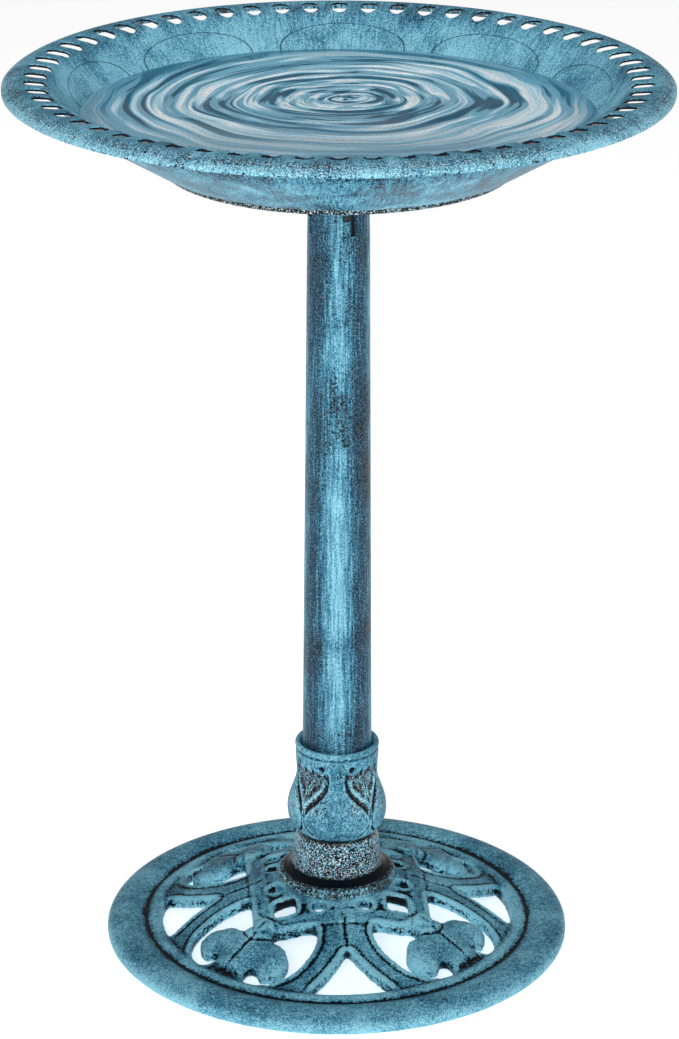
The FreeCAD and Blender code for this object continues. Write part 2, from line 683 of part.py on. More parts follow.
def square_gap():
    """Small square opening in the corner of the strap, on the +X axis, corner outwards."""
    centre = size("square_circle")
    reach = size("square_hole") / math.sqrt(2)
    corners = [point(centre + reach), point(centre, reach), point(centre - reach), point(centre, -reach)]
    return Part.makePolygon(corners + corners[:1]).Edges


def through_cut(edges, azimuth):
    """Tall prism over an outline, turned to its azimuth."""
    prism = Part.Face(Part.Wire(edges)).extrude(FreeCAD.Vector(0, 0, 2 * size("hub_height")))
    prism.rotate(FreeCAD.Vector(), FreeCAD.Vector(0, 0, 1), azimuth)
    return prism


def round_cut(radius, circle, azimuth):
    angle = math.radians(azimuth)
    centre = FreeCAD.Vector(circle * math.cos(angle), circle * math.sin(angle), 0)
    return Part.makeCylinder(radius, 2 * size("hub_height"), centre)


def make_base():
    """Openwork casting: ring, four pairs of arms, four pairs of scrolls, square strap and hub."""
    cuts = [round_cut(size("bolt_radius + fit_gap"), 0, 0)]
    for quarter in range(4):
        arms = size("arm_azimuth") + 90 * quarter
        scrolls = arms + 45
        cuts.append(through_cut(arm_gap(), arms))
        cuts.append(through_cut(scroll_gap(1), scrolls))
        cuts.append(through_cut(scroll_gap(-1), scrolls))
        cuts.append(through_cut(square_gap(), scrolls))
        cuts.append(round_cut(size("screw_radius + snug_gap"), size(COLLAR_SCREW_CIRCLE), scrolls))
        for turn in (-1, 1):
            hole = arms + turn * size("hub_hole_offset")
            cuts.append(round_cut(size("hub_hole_radius"), size("hub_hole_circle"), hole))
    casting = doc.addObject("Part::Feature", "base_casting")
    casting.Label = "base_casting"
    casting.Shape = make_web_cone().cut(cuts).fuse(make_base_ring()).removeSplitter()
    return casting


# ---------------------------------------------------------------- build, check and export
PIECES = [
    make_base(),
    make_collar(),
    make_collar_screws(),
    make_washer(),
    make_bolt(),
    make_nut(),
    make_foot_plug(),
    make_column(),
    make_lock_plug(),
    make_lock_screws(),
    make_basin(),
]
doc.recompute()

for item in doc.Objects:
    if {"Invalid", "Error"} & set(item.State):
        raise RuntimeError(f"{item.Label} did not build: {item.State}")
for piece in PIECES:
    if piece.Shape.isNull() or not piece.Shape.isValid():
        raise RuntimeError(f"{piece.Label} has no valid shape")
    piece.Shape.exportStep(f"parts/{piece.Label}.step")
    print(piece.Label, round(piece.Shape.Volume), len(piece.Shape.Solids))
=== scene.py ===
"""Looks of a painted bird bath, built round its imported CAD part, in the same frame.

The CAD nodes that are already right keep their meshes and get finishes here.  The basin, the
collar and the openwork base are modelled again with their relief, and the basin holds water.
Sizes in the classes and arrays of points are in millimetres, and meshes are in metres.
"""
from __future__ import annotations

import json
import logging
import math
from dataclasses import dataclass
from enum import Enum
from typing import Callable, Iterable, Sequence

import bmesh
import bpy
import numpy as np
from mathutils import Matrix, Vector
from mathutils.kdtree import KDTree

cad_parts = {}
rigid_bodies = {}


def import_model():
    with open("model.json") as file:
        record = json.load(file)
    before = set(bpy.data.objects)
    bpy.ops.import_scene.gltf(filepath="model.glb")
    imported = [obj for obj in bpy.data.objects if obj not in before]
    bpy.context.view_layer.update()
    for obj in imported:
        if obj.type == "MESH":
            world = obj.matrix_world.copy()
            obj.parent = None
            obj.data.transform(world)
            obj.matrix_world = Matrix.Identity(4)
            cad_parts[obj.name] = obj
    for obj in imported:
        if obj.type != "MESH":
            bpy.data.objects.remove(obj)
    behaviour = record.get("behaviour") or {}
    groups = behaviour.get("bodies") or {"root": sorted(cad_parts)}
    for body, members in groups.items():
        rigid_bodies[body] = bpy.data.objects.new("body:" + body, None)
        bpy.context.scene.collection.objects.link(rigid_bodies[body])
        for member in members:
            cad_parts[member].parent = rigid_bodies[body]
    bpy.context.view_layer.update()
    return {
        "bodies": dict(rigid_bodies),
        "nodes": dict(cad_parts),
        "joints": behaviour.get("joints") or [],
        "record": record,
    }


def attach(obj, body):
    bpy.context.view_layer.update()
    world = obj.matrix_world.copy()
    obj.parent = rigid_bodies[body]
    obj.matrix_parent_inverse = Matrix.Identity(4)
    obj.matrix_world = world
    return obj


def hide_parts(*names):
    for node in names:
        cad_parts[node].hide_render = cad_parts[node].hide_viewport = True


Point = tuple[float, float]
Place = tuple[float, float, float]
Array = np.ndarray
Piece = bpy.types.Object
Material = bpy.types.Material
Socket = bpy.types.NodeSocket
Tree = bpy.types.NodeTree
WHORL: Point = (4.0, 40.0)  # centre of the rings in the water
log = logging.getLogger("bird_bath")


# --- meshes
def mm(value: float) -> float:
    """Millimetres as metres."""
    return value / 1000.0


def deselect() -> None:
    """Deselect every object, so that the next operator acts on one piece only."""
    if bpy.context.mode != "OBJECT":
        bpy.ops.object.mode_set(mode="OBJECT")
    bpy.ops.object.select_all(action="DESELECT")


def make_active(piece: Piece) -> None:
    """Select one object alone and make it the active one.

    Args:
        piece: The object.
    """
    deselect()
    piece.select_set(True)
    bpy.context.view_layer.objects.active = piece


def apply_modifier(piece: Piece, kind: str, **settings: object) -> None:
    """Add a modifier with its settings and apply it at once.

    Args:
        piece: The object to change.
        kind: Modifier type, such as "REMESH".
        **settings: Properties of the modifier.
    """
    make_active(piece)
    modifier = piece.modifiers.new(kind.title(), kind)
    for name, value in settings.items():
        setattr(modifier, name, value)
    bpy.ops.object.modifier_apply(modifier=modifier.name)


def choose(piece: Piece, kind: str, test: Callable[..., bool]) -> None:
    """Select faces or edges of a piece in edit mode by a test.

    Args:
        piece: The object, which is in edit mode.
        kind: "FACE" or "EDGE".
        test: Gets a bmesh face or edge and says whether it is chosen.
    """
    bpy.ops.mesh.select_mode(type=kind)
    bpy.ops.mesh.select_all(action="DESELECT")
    shape = bmesh.from_edit_mesh(piece.data)
    for item in (shape.faces if kind == "FACE" else shape.edges):
        if test(item):
            item.select_set(True)
    shape.select_flush_mode()
    bmesh.update_edit_mesh(piece.data)


def read_vectors(piece: Piece, name: str) -> Array:
    """A vector property of a piece's vertices, "co" or "normal", as rows of three."""
    flat = np.empty(len(piece.data.vertices) * 3)
    piece.data.vertices.foreach_get(name, flat)
    return flat.reshape(-1, 3)


def positions(piece: Piece) -> Array:
    """Vertex positions of a piece in millimetres, as rows of three."""
    return read_vectors(piece, "co") * 1000


def place_points(piece: Piece, points: Array) -> None:
    """Give a piece's vertices new positions, in millimetres."""
    piece.data.vertices.foreach_set("co", points.ravel() / 1000)
    piece.data.update()


def radius_of(points: Array) -> Array:
    """Distance of each point from the Z axis."""
    return np.hypot(points[:, 0], points[:, 1])


def azimuth_of(points: Array) -> Array:
    """Angle of each point about the Z axis, in degrees from +X."""
    return np.degrees(np.arctan2(points[:, 1], points[:, 0]))


def folded(points: Array, axis: float) -> Array:
    """Signed degrees of each point from the nearest of four axes, the first of them at an azimuth."""
    return (azimuth_of(points) - axis + 45) % 90 - 45


def turn_points(piece: Piece, angle: float) -> None:
    """Turn a piece's vertices about the Z axis by an angle in radians."""
    turn = np.array(Matrix.Rotation(angle, 3, "Z"))
    place_points(piece, positions(piece) @ turn.T)


def spin_outline(name: str, outline: Sequence[Point], angle: float, steps: int) -> Piece:
    """Spin a closed outline of (radius, height) corners about the Z axis.

    Args:
        name: Name of the new piece.
        outline: Corners in order round the section.
        angle: Angle of the sector in degrees, which ends up centred on +X.
        steps: Columns of faces across that angle.

    Returns:
        The spun piece, with its doubles still in it.
    """
    deselect()
    bpy.ops.mesh.primitive_circle_add(vertices=len(outline), radius=1.0, fill_type="NOTHING")
    piece = bpy.context.active_object
    piece.name = name
    piece.data.name = name
    half = math.radians(angle) / 2
    for vertex, (radius, height) in zip(piece.data.vertices, outline):
        vertex.co = (mm(radius) * math.cos(half), -mm(radius) * math.sin(half), mm(height))
    bpy.ops.object.mode_set(mode="EDIT")
    bpy.ops.mesh.select_all(action="SELECT")
    bpy.ops.mesh.spin(steps=steps, angle=2 * half, center=(0, 0, 0), axis=(0, 0, 1))
    bpy.ops.object.mode_set(mode="OBJECT")
    # A sector that was spun the other way is turned back over +X.
    middle = positions(piece).mean(0, keepdims=True)
    if angle < 360 and abs(azimuth_of(middle)[0]) > angle / 4:
        turn_points(piece, 2 * half)
    return piece


def copy_round(piece: Piece, count: int) -> None:
    """Repeat a sector evenly round the Z axis, as one mesh.

    Args:
        piece: The sector, 360 / count degrees wide.
        count: Sectors in the whole turn.
    """
    make_active(piece)
    bpy.ops.object.mode_set(mode="EDIT")
    bpy.ops.mesh.select_all(action="SELECT")
    bpy.ops.mesh.spin(steps=count - 1, dupli=True, angle=2 * math.pi * (count - 1) / count,
                      center=(0, 0, 0), axis=(0, 0, 1))
    bpy.ops.object.mode_set(mode="OBJECT")


def close_up(piece: Piece, crease: float = 35.0) -> None:
    """Merge doubles, drop loose edges, point faces outwards and shade smooth.

    Args:
        piece: The finished mesh.
        crease: Edges sharper than this angle in degrees stay sharp in the shading.
    """
    make_active(piece)
    bpy.ops.object.mode_set(mode="EDIT")
    bpy.ops.mesh.select_mode(type="VERT")
    bpy.ops.mesh.select_all(action="SELECT")
    bpy.ops.mesh.remove_doubles(threshold=mm(0.008))
    bpy.ops.mesh.dissolve_degenerate(threshold=mm(0.002))
    bpy.ops.mesh.select_all(action="SELECT")
    bpy.ops.mesh.delete_loose()
    bpy.ops.mesh.select_all(action="SELECT")
    bpy.ops.mesh.normals_make_consistent(inside=False)
    bpy.ops.object.mode_set(mode="OBJECT")
    bpy.ops.object.shade_smooth_by_angle(angle=math.radians(crease))


def set_attribute(piece: Piece, name: str, values: Array) -> None:
    """Store one number for each vertex, for a finish to read."""
    layer = piece.data.attributes.get(name) or piece.data.attributes.new(name, "FLOAT", "POINT")
    layer.data.foreach_set("value", values.astype(np.float32))


def mark_relief(piece: Piece, rounds: int, depth: float) -> Array:
    """Store how far each vertex lies in a hollow or on a ridge, as paint gathers or wears there.

    Args:
        piece: A dense mesh.
        rounds: Smoothing rounds of the surface that it is measured against.
        depth: Depth that counts as fully hollow or fully ridged.

    Returns:
        The hollow of each vertex, from 0 to 1.
    """
    points = positions(piece)
    pairs = np.empty(len(piece.data.edges) * 2, dtype=np.int64)
    piece.data.edges.foreach_get("vertices", pairs)
    ends = pairs.reshape(-1, 2)
    near = np.concatenate([ends[:, 0], ends[:, 1]])
    far = np.concatenate([ends[:, 1], ends[:, 0]])
    degree = np.maximum(np.bincount(near, minlength=len(points)), 1)
    soft = points.copy()
    for _ in range(rounds):
        sums = [np.bincount(near, soft[far, axis], minlength=len(points)) for axis in range(3)]
        soft = (soft + np.stack(sums, 1) / degree[:, None]) / 2
    sink = ((soft - points) * read_vectors(piece, "normal")).sum(1) / depth
    set_attribute(piece, "ridge", np.clip(-sink, 0, 1))
    return np.clip(sink, 0, 1)


def softened(corners: Sequence[Place], pieces: int) -> list[Point]:
    """Round the corners of an outline.

    Args:
        corners: (radius, height, reach) items; reach is how far from the corner its rounding starts.
        pieces: Straight pieces in each rounding.

    Returns:
        The outline's points in order.
    """
    made: list[Point] = []
    for index, (x, y, reach) in enumerate(corners):
        if reach <= 0:
            made.append((x, y))
            continue
        here = Vector((x, y))
        before = Vector(corners[index - 1][:2])
        after = Vector(corners[(index + 1) % len(corners)][:2])
        start = here + (before - here).normalized() * reach
        end = here + (after - here).normalized() * reach
        for step in range(pieces + 1):
            share = step / pieces
            at = start * (1 - share) ** 2 + here * 2 * share * (1 - share) + end * share ** 2
            made.append((at.x, at.y))
    return made


def smooth_step(values: Array, start: float, end: float) -> Array:
    """Smooth change from 0 at start to 1 at end, whichever of the two is greater."""
    share = np.clip((values - start) / (end - start), 0, 1)
    return share * share * (3 - 2 * share)


def plateau(values: Array, low: float, flat: float, flat_end: float, high: float) -> Array:
    """Smooth rise from low to flat and smooth fall from flat_end to high."""
    return smooth_step(values, low, flat) * smooth_step(values, high, flat_end)


def bell(values: Array, middle: float, width: float) -> Array:
    """Bell curve that is 1 at its middle."""
    return np.exp(-((values - middle) / width) ** 2)


# --- shader nodes
def linear(colour: str) -> tuple[float, float, float, float]:
    """Turn an sRGB colour into the linear one that shaders take.

    Args:
        colour: Hex value such as "#5d9bb3".

    Returns:
        Linear red, green, blue and an alpha of 1.
    """
    parts = [int(colour[start:start + 2], 16) / 255.0 for start in (1, 3, 5)]
    turned = [c / 12.92 if c <= 0.04045 else ((c + 0.055) / 1.055) ** 2.4 for c in parts]
    return (turned[0], turned[1], turned[2], 1.0)


def feed(tree: Tree, node: bpy.types.Node, feeds: dict) -> None:
    """Set inputs of a node.

    Args:
        tree: The node tree.
        node: The node.
        feeds: Input name or number to a value, or to the output socket that feeds it.
    """
    for key, value in feeds.items():
        if isinstance(value, Socket):
            tree.links.new(value, node.inputs[key])
        else:
            node.inputs[key].default_value = value


def add_node(tree: Tree, kind: str, feeds: dict, **settings: object) -> bpy.types.Node:
    """Add a shader node.

    Args:
        tree: The node tree.
        kind: Node type, such as "ShaderNodeMath".
        feeds: What its inputs get, as feed() takes it.
        **settings: Properties of the node.

    Returns:
        The new node.
    """
    node = tree.nodes.new(kind)
    for name, value in settings.items():
        setattr(node, name, value)
    feed(tree, node, feeds)
    return node


def maths(tree: Tree, operation: str, *values: object) -> Socket:
    """Result of a math node on up to three values or sockets."""
    return add_node(tree, "ShaderNodeMath", dict(enumerate(values)), operation=operation).outputs[0]


def vector_maths(tree: Tree, operation: str, feeds: dict) -> Socket:
    """Vector that a vector math node makes."""
    return add_node(tree, "ShaderNodeVectorMath", feeds, operation=operation).outputs[0]


def distance(tree: Tree, along: Socket, across: Socket) -> Socket:
    """Length of a line from its two parts at right angles."""
    square = maths(tree, "MULTIPLY", across, across)
    return maths(tree, "SQRT", maths(tree, "MULTIPLY_ADD", along, along, square))


def split(tree: Tree, vector: Socket) -> list[Socket]:
    """The x, y and z of a vector."""
    return list(add_node(tree, "ShaderNodeSeparateXYZ", {0: vector}).outputs)


def turned_by(tree: Tree, space: Socket) -> Socket:
    """Angle about the Z axis in radians, from +X."""
    parts = split(tree, space)
    return maths(tree, "ARCTAN2", parts[1], parts[0])


def mapping(tree: Tree, vector: Socket, **places: Place) -> Socket:
    """Coordinates moved by Location, turned by Rotation and multiplied by Scale."""
    return add_node(tree, "ShaderNodeMapping", {"Vector": vector, **places}).outputs[0]


def noise(tree: Tree, space: Socket, size: float, detail: float = 2.0, **more: float) -> Socket:
    """Soft noise between about 0.3 and 0.7.

    Args:
        tree: The node tree.
        space: Coordinates.
        size: Size of its blobs, in the unit of the coordinates.
        detail: How many finer layers it has.
        **more: Roughness and Distortion.

    Returns:
        The noise's value.
    """
    feeds = {"Vector": space, "Scale": 1 / size, "Detail": detail, **more}
    return add_node(tree, "ShaderNodeTexNoise", feeds).outputs[0]


def ranged(tree: Tree, value: Socket, low: float, high: float, start: float = 0.0,
           end: float = 1.0) -> Socket:
    """Value that goes from start to end while the given one goes from low to high."""
    return add_node(tree, "ShaderNodeMapRange", {0: value, 1: low, 2: high, 3: start, 4: end}).outputs[0]


def blend(tree: Tree, share: Socket, first: Socket | str, second: Socket | str) -> Socket:
    """Colour between two, each a socket or a hex value, as far as share says."""
    colours = [linear(item) if isinstance(item, str) else item for item in (first, second)]
    feeds = {0: share, 6: colours[0], 7: colours[1]}
    return add_node(tree, "ShaderNodeMix", feeds, data_type="RGBA").outputs[2]


def colour_ramp(tree: Tree, value: Socket, stops: Sequence[tuple[float, str]]) -> Socket:
    """Pick a colour from a ramp.

    Args:
        tree: The node tree.
        value: Place on the ramp, from 0 to 1.
        stops: (position, hex value) pairs in order.

    Returns:
        The colour.
    """
    ramp = add_node(tree, "ShaderNodeValToRGB", {0: value})
    elements = ramp.color_ramp.elements
    while len(elements) < len(stops):
        elements.new(0.5)
    for element, (place, colour) in zip(elements, stops):
        element.position = place
        element.color = linear(colour)
    return ramp.outputs[0]


def dents(tree: Tree, height: Socket, strength: float, depth: float) -> Socket:
    """Normal of a surface with shallow dents, whose depth is in millimetres."""
    feeds = {"Strength": strength, "Distance": mm(depth), "Height": height}
    return add_node(tree, "ShaderNodeBump", feeds).outputs[0]


def new_material(name: str) -> tuple[Material, Tree, bpy.types.Node, Socket]:
    """Start a node material.

    Args:
        name: The finish's name.

    Returns:
        The material, its tree, its Principled shader and object coordinates in millimetres.
    """
    material = bpy.data.materials.new(name)
    material.use_nodes = True
    tree = material.node_tree
    place = add_node(tree, "ShaderNodeTexCoord", {}).outputs["Object"]
    space = mapping(tree, place, Scale=(1000, 1000, 1000))
    return material, tree, tree.nodes["Principled BSDF"], space


def finish(piece: Piece, material: Material) -> None:
    """Give every face of a piece one material.

    Args:
        piece: A new piece or a CAD node.
        material: Its finish.
    """
    if not piece.material_slots:
        piece.data.materials.append(material)
    for slot in piece.material_slots:
        slot.material = material


# --- finishes
class Strokes(Enum):
    """How the top coat of a painted part was put on."""

    SPONGED = "dabbed on with a sponge"
    UPRIGHT = "dry-brushed up and down"
    RADIAL = "wiped outwards from the axis"


@dataclass(frozen=True)
class SpongedPaint:
    """Antique turquoise paint over black, on a cast or moulded part.

    A black primer shows through in hollows and between dabs as fine dark speckle, the blue coat
    is patchy and brushed, and raised edges are rubbed paler.  It is satin, and glossier where bare.
    """

    name: str
    strokes: Strokes = Strokes.SPONGED
    body: str = "#3f85a1"
    pale: str = "#8accdf"
    deep: str = "#174c67"
    primer: str = "#020a12"
    fleck: str = "#d7eef6"
    engraved: str = "#0f2b39"
    grain: float = 2.4  # size of the speckle, as coarse as it must be to show
    patch: float = 38.0  # size of the sponge's patches
    soot: float = 0.38  # share of primer that shows between dabs
    hollow_soot: float = 0.9  # how much more shows in hollows and in painted shade
    stroke_weight: float = 0.9  # how much brush strokes change the tone
    fine_weight: float = 1.4  # how much the fine grain changes it
    patch_weight: float = 1.0  # how much wide patches change it
    smudge: float = 0.3  # how much they change the share of primer
    shade: float = 0.0  # how much darker the whole coat is
    painted_highlight_bands: float = 0.0  # strength of four upright pale stripes on a brushed tube, one facing the front: a painted highlight from the front light
    petals: int = 0  # petals of the line engraved inside the bowl
    petal_foot: float = 681.0  # level of the petals' widest part
    petal_height: float = 17.0

    def brushed(self, tree: Tree, space: Socket) -> Socket:
        """Stretch coordinates along the brush's way.

        Args:
            tree: The node tree.
            space: Object coordinates in millimetres.

        Returns:
            The stretched coordinates.
        """
        if self.strokes is Strokes.UPRIGHT:
            return mapping(tree, space, Scale=(0.55, 0.55, 0.028), Rotation=(0, 0.05, 0))
        if self.strokes is Strokes.SPONGED:
            return mapping(tree, space, Scale=(0.3, 0.3, 0.3))
        x, y, z = split(tree, space)
        outwards = maths(tree, "MULTIPLY", distance(tree, x, y), 0.06)
        around = maths(tree, "MULTIPLY", turned_by(tree, space), 110.0)
        upwards = maths(tree, "MULTIPLY", z, 0.08)
        return add_node(tree, "ShaderNodeCombineXYZ", {0: outwards, 1: around, 2: upwards}).outputs[0]

    def petal_line(self, tree: Tree, space: Socket) -> Socket:
        """Draw a scalloped line of petals, engraved on the bowl's inner wall.

        Args:
            tree: The node tree.
            space: Object coordinates in millimetres.

        Returns:
            The line's mask.
        """
        z = split(tree, space)[2]
        turns = maths(tree, "MULTIPLY", turned_by(tree, space), self.petals / (2 * math.pi))
        # A little more than a whole number of turns keeps the share positive and sets the first petal.
        turns = maths(tree, "ADD", turns, self.petals + 0.02)
        across = maths(tree, "SUBTRACT", maths(tree, "FRACT", turns), 0.5)
        across = maths(tree, "MULTIPLY", across, 2.4)
        high = maths(tree, "MULTIPLY_ADD", z, 1 / self.petal_height, -self.petal_foot / self.petal_height)
        off = maths(tree, "ABSOLUTE", maths(tree, "SUBTRACT", distance(tree, across, high), 0.97))
        line = ranged(tree, off, 0.005, 0.022, 0.8, 0.0)
        above = maths(tree, "GREATER_THAN", z, self.petal_foot - 3.0)
        below = maths(tree, "LESS_THAN", z, self.petal_foot + 21.0)
        return maths(tree, "MULTIPLY", line, maths(tree, "MULTIPLY", above, below))

    def make(self) -> Material:
        """Build the material's nodes.

        Returns:
            The material.
        """
        material, tree, shader, space = new_material(self.name)
        stroke = noise(tree, self.brushed(tree, space), 1.0, 4.0, Roughness=0.65)
        patch = noise(tree, space, self.patch, 3.0, Distortion=0.6)
        grain = noise(tree, space, self.grain, 3.0, Roughness=0.75)
        fine = noise(tree, space, self.grain / 2.2, 2.0, Distortion=0.4)
        # The hollow attribute holds real hollows and, on the bowl and the base, painted shade as well.
        hollow, ridge, stipple = [
            add_node(tree, "ShaderNodeAttribute", {}, attribute_name=name).outputs["Fac"]
            for name in ("hollow", "ridge", "stipple")
        ]

        def add_share(base: Socket | float, part: Socket, share: float) -> Socket:
            """The base plus a share of a part."""
            return maths(tree, "MULTIPLY_ADD", part, share, base)

        # The coat's tone: wide patches, brush strokes, and paler where an edge is rubbed.
        level = (self.patch_weight + self.stroke_weight + self.fine_weight) / 2 - 0.5 + self.shade
        tone = add_share(-level, patch, self.patch_weight)
        tone = add_share(tone, stroke, self.stroke_weight)
        tone = add_share(tone, fine, self.fine_weight)
        tone = add_share(tone, ridge, 0.35)
        # Painted highlight: four upright pale stripes round a tube, the one facing the front standing in
        # for the front light on it.
        if self.painted_highlight_bands:
            wave = maths(tree, "COSINE", maths(tree, "MULTIPLY", turned_by(tree, space), 4.0))
            tone = add_share(tone, wave, self.painted_highlight_bands)
        coat = colour_ramp(tree, tone, ((0.15, self.deep), (0.52, self.body), (0.9, self.pale)))
        # Bare primer: speckle everywhere, thick in hollows, in painted shade and where the part is
        # stippled.
        bare = add_share(self.soot + (self.smudge + 0.3) / 2, hollow, self.hollow_soot * 0.5)
        bare = add_share(bare, stipple, 0.13)
        bare = add_share(bare, patch, -self.smudge)
        bare = add_share(bare, stroke, -0.3)
        bare = add_share(bare, ridge, -0.12)
        speck = ranged(tree, maths(tree, "SUBTRACT", bare, grain), -0.02, 0.03)
        colour = blend(tree, speck, coat, self.primer)
        # Rubbed highlights: a few pale flecks, and many where the part is stippled.
        flecks = ranged(tree, fine, 0.55, 0.59)
        rubbed = maths(tree, "SUBTRACT", add_share(0.12, stipple, 0.8), hollow)
        bright = maths(tree, "MULTIPLY", flecks, maths(tree, "MAXIMUM", rubbed, 0.0))
        colour = blend(tree, bright, colour, self.fleck)
        relief = add_share(stroke, grain, 0.8)
        if self.petals:
            line = self.petal_line(tree, space)
            colour = blend(tree, line, colour, self.engraved)
            relief = add_share(relief, line, -1.5)
        feed(tree, shader, {
            "Base Color": colour, "Roughness": ranged(tree, speck, 0.0, 1.0, 0.5, 0.32),
            "Normal": dents(tree, relief, 0.5, 0.35), "IOR": 1.48, "Specular IOR Level": 0.16,
        })
        return material


@dataclass(frozen=True)
class RippledWater:
    """Clear water over blue paint, stirred into rings, with the sky's reflection on them painted into its
    colour.

    The rings start at a whorl behind the middle and grow wider outwards; their slopes show as
    crescents of painted pale sky reflection and dark paint under a hard gloss.
    """

    name: str = "rippled_water"
    deep: str = "#1b5873"
    # Painted reflection: the mid, sky and white glint colours are the sky's reflection on the rings,
    # painted into the colour.
    mid: str = "#78b2cc"
    sky: str = "#c3e9f8"
    painted_glint: str = "#ffffff"
    # Painted reflection: the grey of smooth water.
    still: str = "#86adc2"
    shallow: str = "#3f86a3"
    speckle: str = "#1d4c62"
    edge: Point = (190.0, 212.0)  # where the paint starts to show through, and shows fully
    calm: Point = (-20.0, -95.0)  # where the water starts to lie still towards the front, and does

    def warped(self, tree: Tree, space: Socket) -> Socket:
        """Centre flat coordinates on the whorl and push them a little out of true.

        Args:
            tree: The node tree.
            space: Object coordinates in millimetres.

        Returns:
            The new coordinates.
        """
        centred = mapping(tree, space, Location=(-WHORL[0], -WHORL[1], 0))
        drift = add_node(tree, "ShaderNodeTexNoise", {"Vector": centred, "Scale": 1 / 90.0, "Detail": 1.0})
        pushed = vector_maths(tree, "SUBTRACT", {0: drift.outputs["Color"], 1: (0.5, 0.5, 0.5)})
        pushed = vector_maths(tree, "SCALE", {0: pushed, "Scale": 32.0})
        moved = vector_maths(tree, "ADD", {0: centred, 1: pushed})
        return vector_maths(tree, "MULTIPLY", {0: moved, 1: (1, 1, 0)})

    def make(self) -> Material:
        """Build the material's nodes.

        Returns:
            The material.
        """
        material, tree, shader, space = new_material(self.name)
        flat = self.warped(tree, space)
        reach = add_node(tree, "ShaderNodeVectorMath", {0: flat}, operation="LENGTH").outputs["Value"]
        # Noise stretched round the whorl makes broken rings and crescents, finer near its middle.
        x, y, _ = split(tree, vector_maths(tree, "NORMALIZE", {0: flat}))
        out = maths(tree, "POWER", reach, 0.72)
        polar = add_node(tree, "ShaderNodeCombineXYZ", {
            0: maths(tree, "MULTIPLY", x, 0.7), 1: maths(tree, "MULTIPLY", y, 0.7),
            2: maths(tree, "MULTIPLY", out, 0.5)}).outputs[0]
        broken = noise(tree, polar, 1.0, 2.5, Roughness=0.55, Distortion=0.5)
        wave = maths(tree, "SINE", maths(tree, "MULTIPLY", out, 2.0))
        level = maths(tree, "MULTIPLY_ADD", broken, 1.15, -0.075)
        level = maths(tree, "MULTIPLY_ADD", wave, 0.045, level)
        # Painted reflection: the ramp puts pale sky and white glints on the rings' slopes, and dark paint
        # between them.
        colour = colour_ramp(tree, level, (
            (0.3, self.deep), (0.4, self.deep), (0.44, self.mid), (0.5, self.mid),
            (0.56, self.sky), (0.61, self.painted_glint), (0.68, self.sky)))
        # Fewer ripples near the front wall, where the water lies smooth and carries a painted grey
        # reflection of the sky.
        x, y, _ = split(tree, space)
        calm = ranged(tree, y, *self.calm, 0.0, 0.7)
        colour = blend(tree, calm, colour, self.still)
        # The paint shows through where the water is shallow, with a ragged edge.
        ragged = maths(tree, "MULTIPLY_ADD", broken, 40.0, distance(tree, x, y))
        colour = blend(tree, ranged(tree, ragged, *self.edge, 0.0, 0.8), colour, self.shallow)
        grain = noise(tree, space, 1.8)
        colour = blend(tree, ranged(tree, grain, 0.5, 0.7, 0.0, 0.4), colour, self.speckle)
        feed(tree, shader, {
            "Base Color": colour, "Roughness": 0.08, "Normal": dents(tree, wave, 0.4, 1.2),
            "IOR": 1.333, "Specular IOR Level": 0.2,
        })
        return material


@dataclass(frozen=True)
class MouldedResin:
    """Black moulded polypropylene: a fine satin grain, slightly greyer where it is handled."""

    name: str
    body: str = "#16191c"
    worn: str = "#2c3236"

    def make(self) -> Material:
        """Build the material's nodes.

        Returns:
            The material.
        """
        material, tree, shader, space = new_material(self.name)
        wear = noise(tree, space, 14.0, 3.0)
        feed(tree, shader, {
            "Base Color": blend(tree, ranged(tree, wear, 0.4, 0.7), self.body, self.worn),
            "Roughness": ranged(tree, wear, 0.0, 1.0, 0.42, 0.58),
            "Normal": dents(tree, noise(tree, space, 0.8), 0.3, 0.1), "IOR": 1.49,
        })
        return material


@dataclass(frozen=True)
class ZincPlate:
    """Zinc-plated steel fasteners: cool grey metal with cloudy, slightly dull patches."""

    name: str
    bright: str = "#b9bfc4"
    dull: str = "#83898e"

    def make(self) -> Material:
        """Build the material's nodes.

        Returns:
            The material.
        """
        material, tree, shader, space = new_material(self.name)
        cloud = noise(tree, space, 3.0, 3.0)
        feed(tree, shader, {
            "Base Color": blend(tree, ranged(tree, cloud, 0.35, 0.65), self.bright, self.dull),
            "Roughness": ranged(tree, cloud, 0.0, 1.0, 0.28, 0.5),
            "Normal": dents(tree, cloud, 0.2, 0.05), "Metallic": 1.0,
        })
        return material


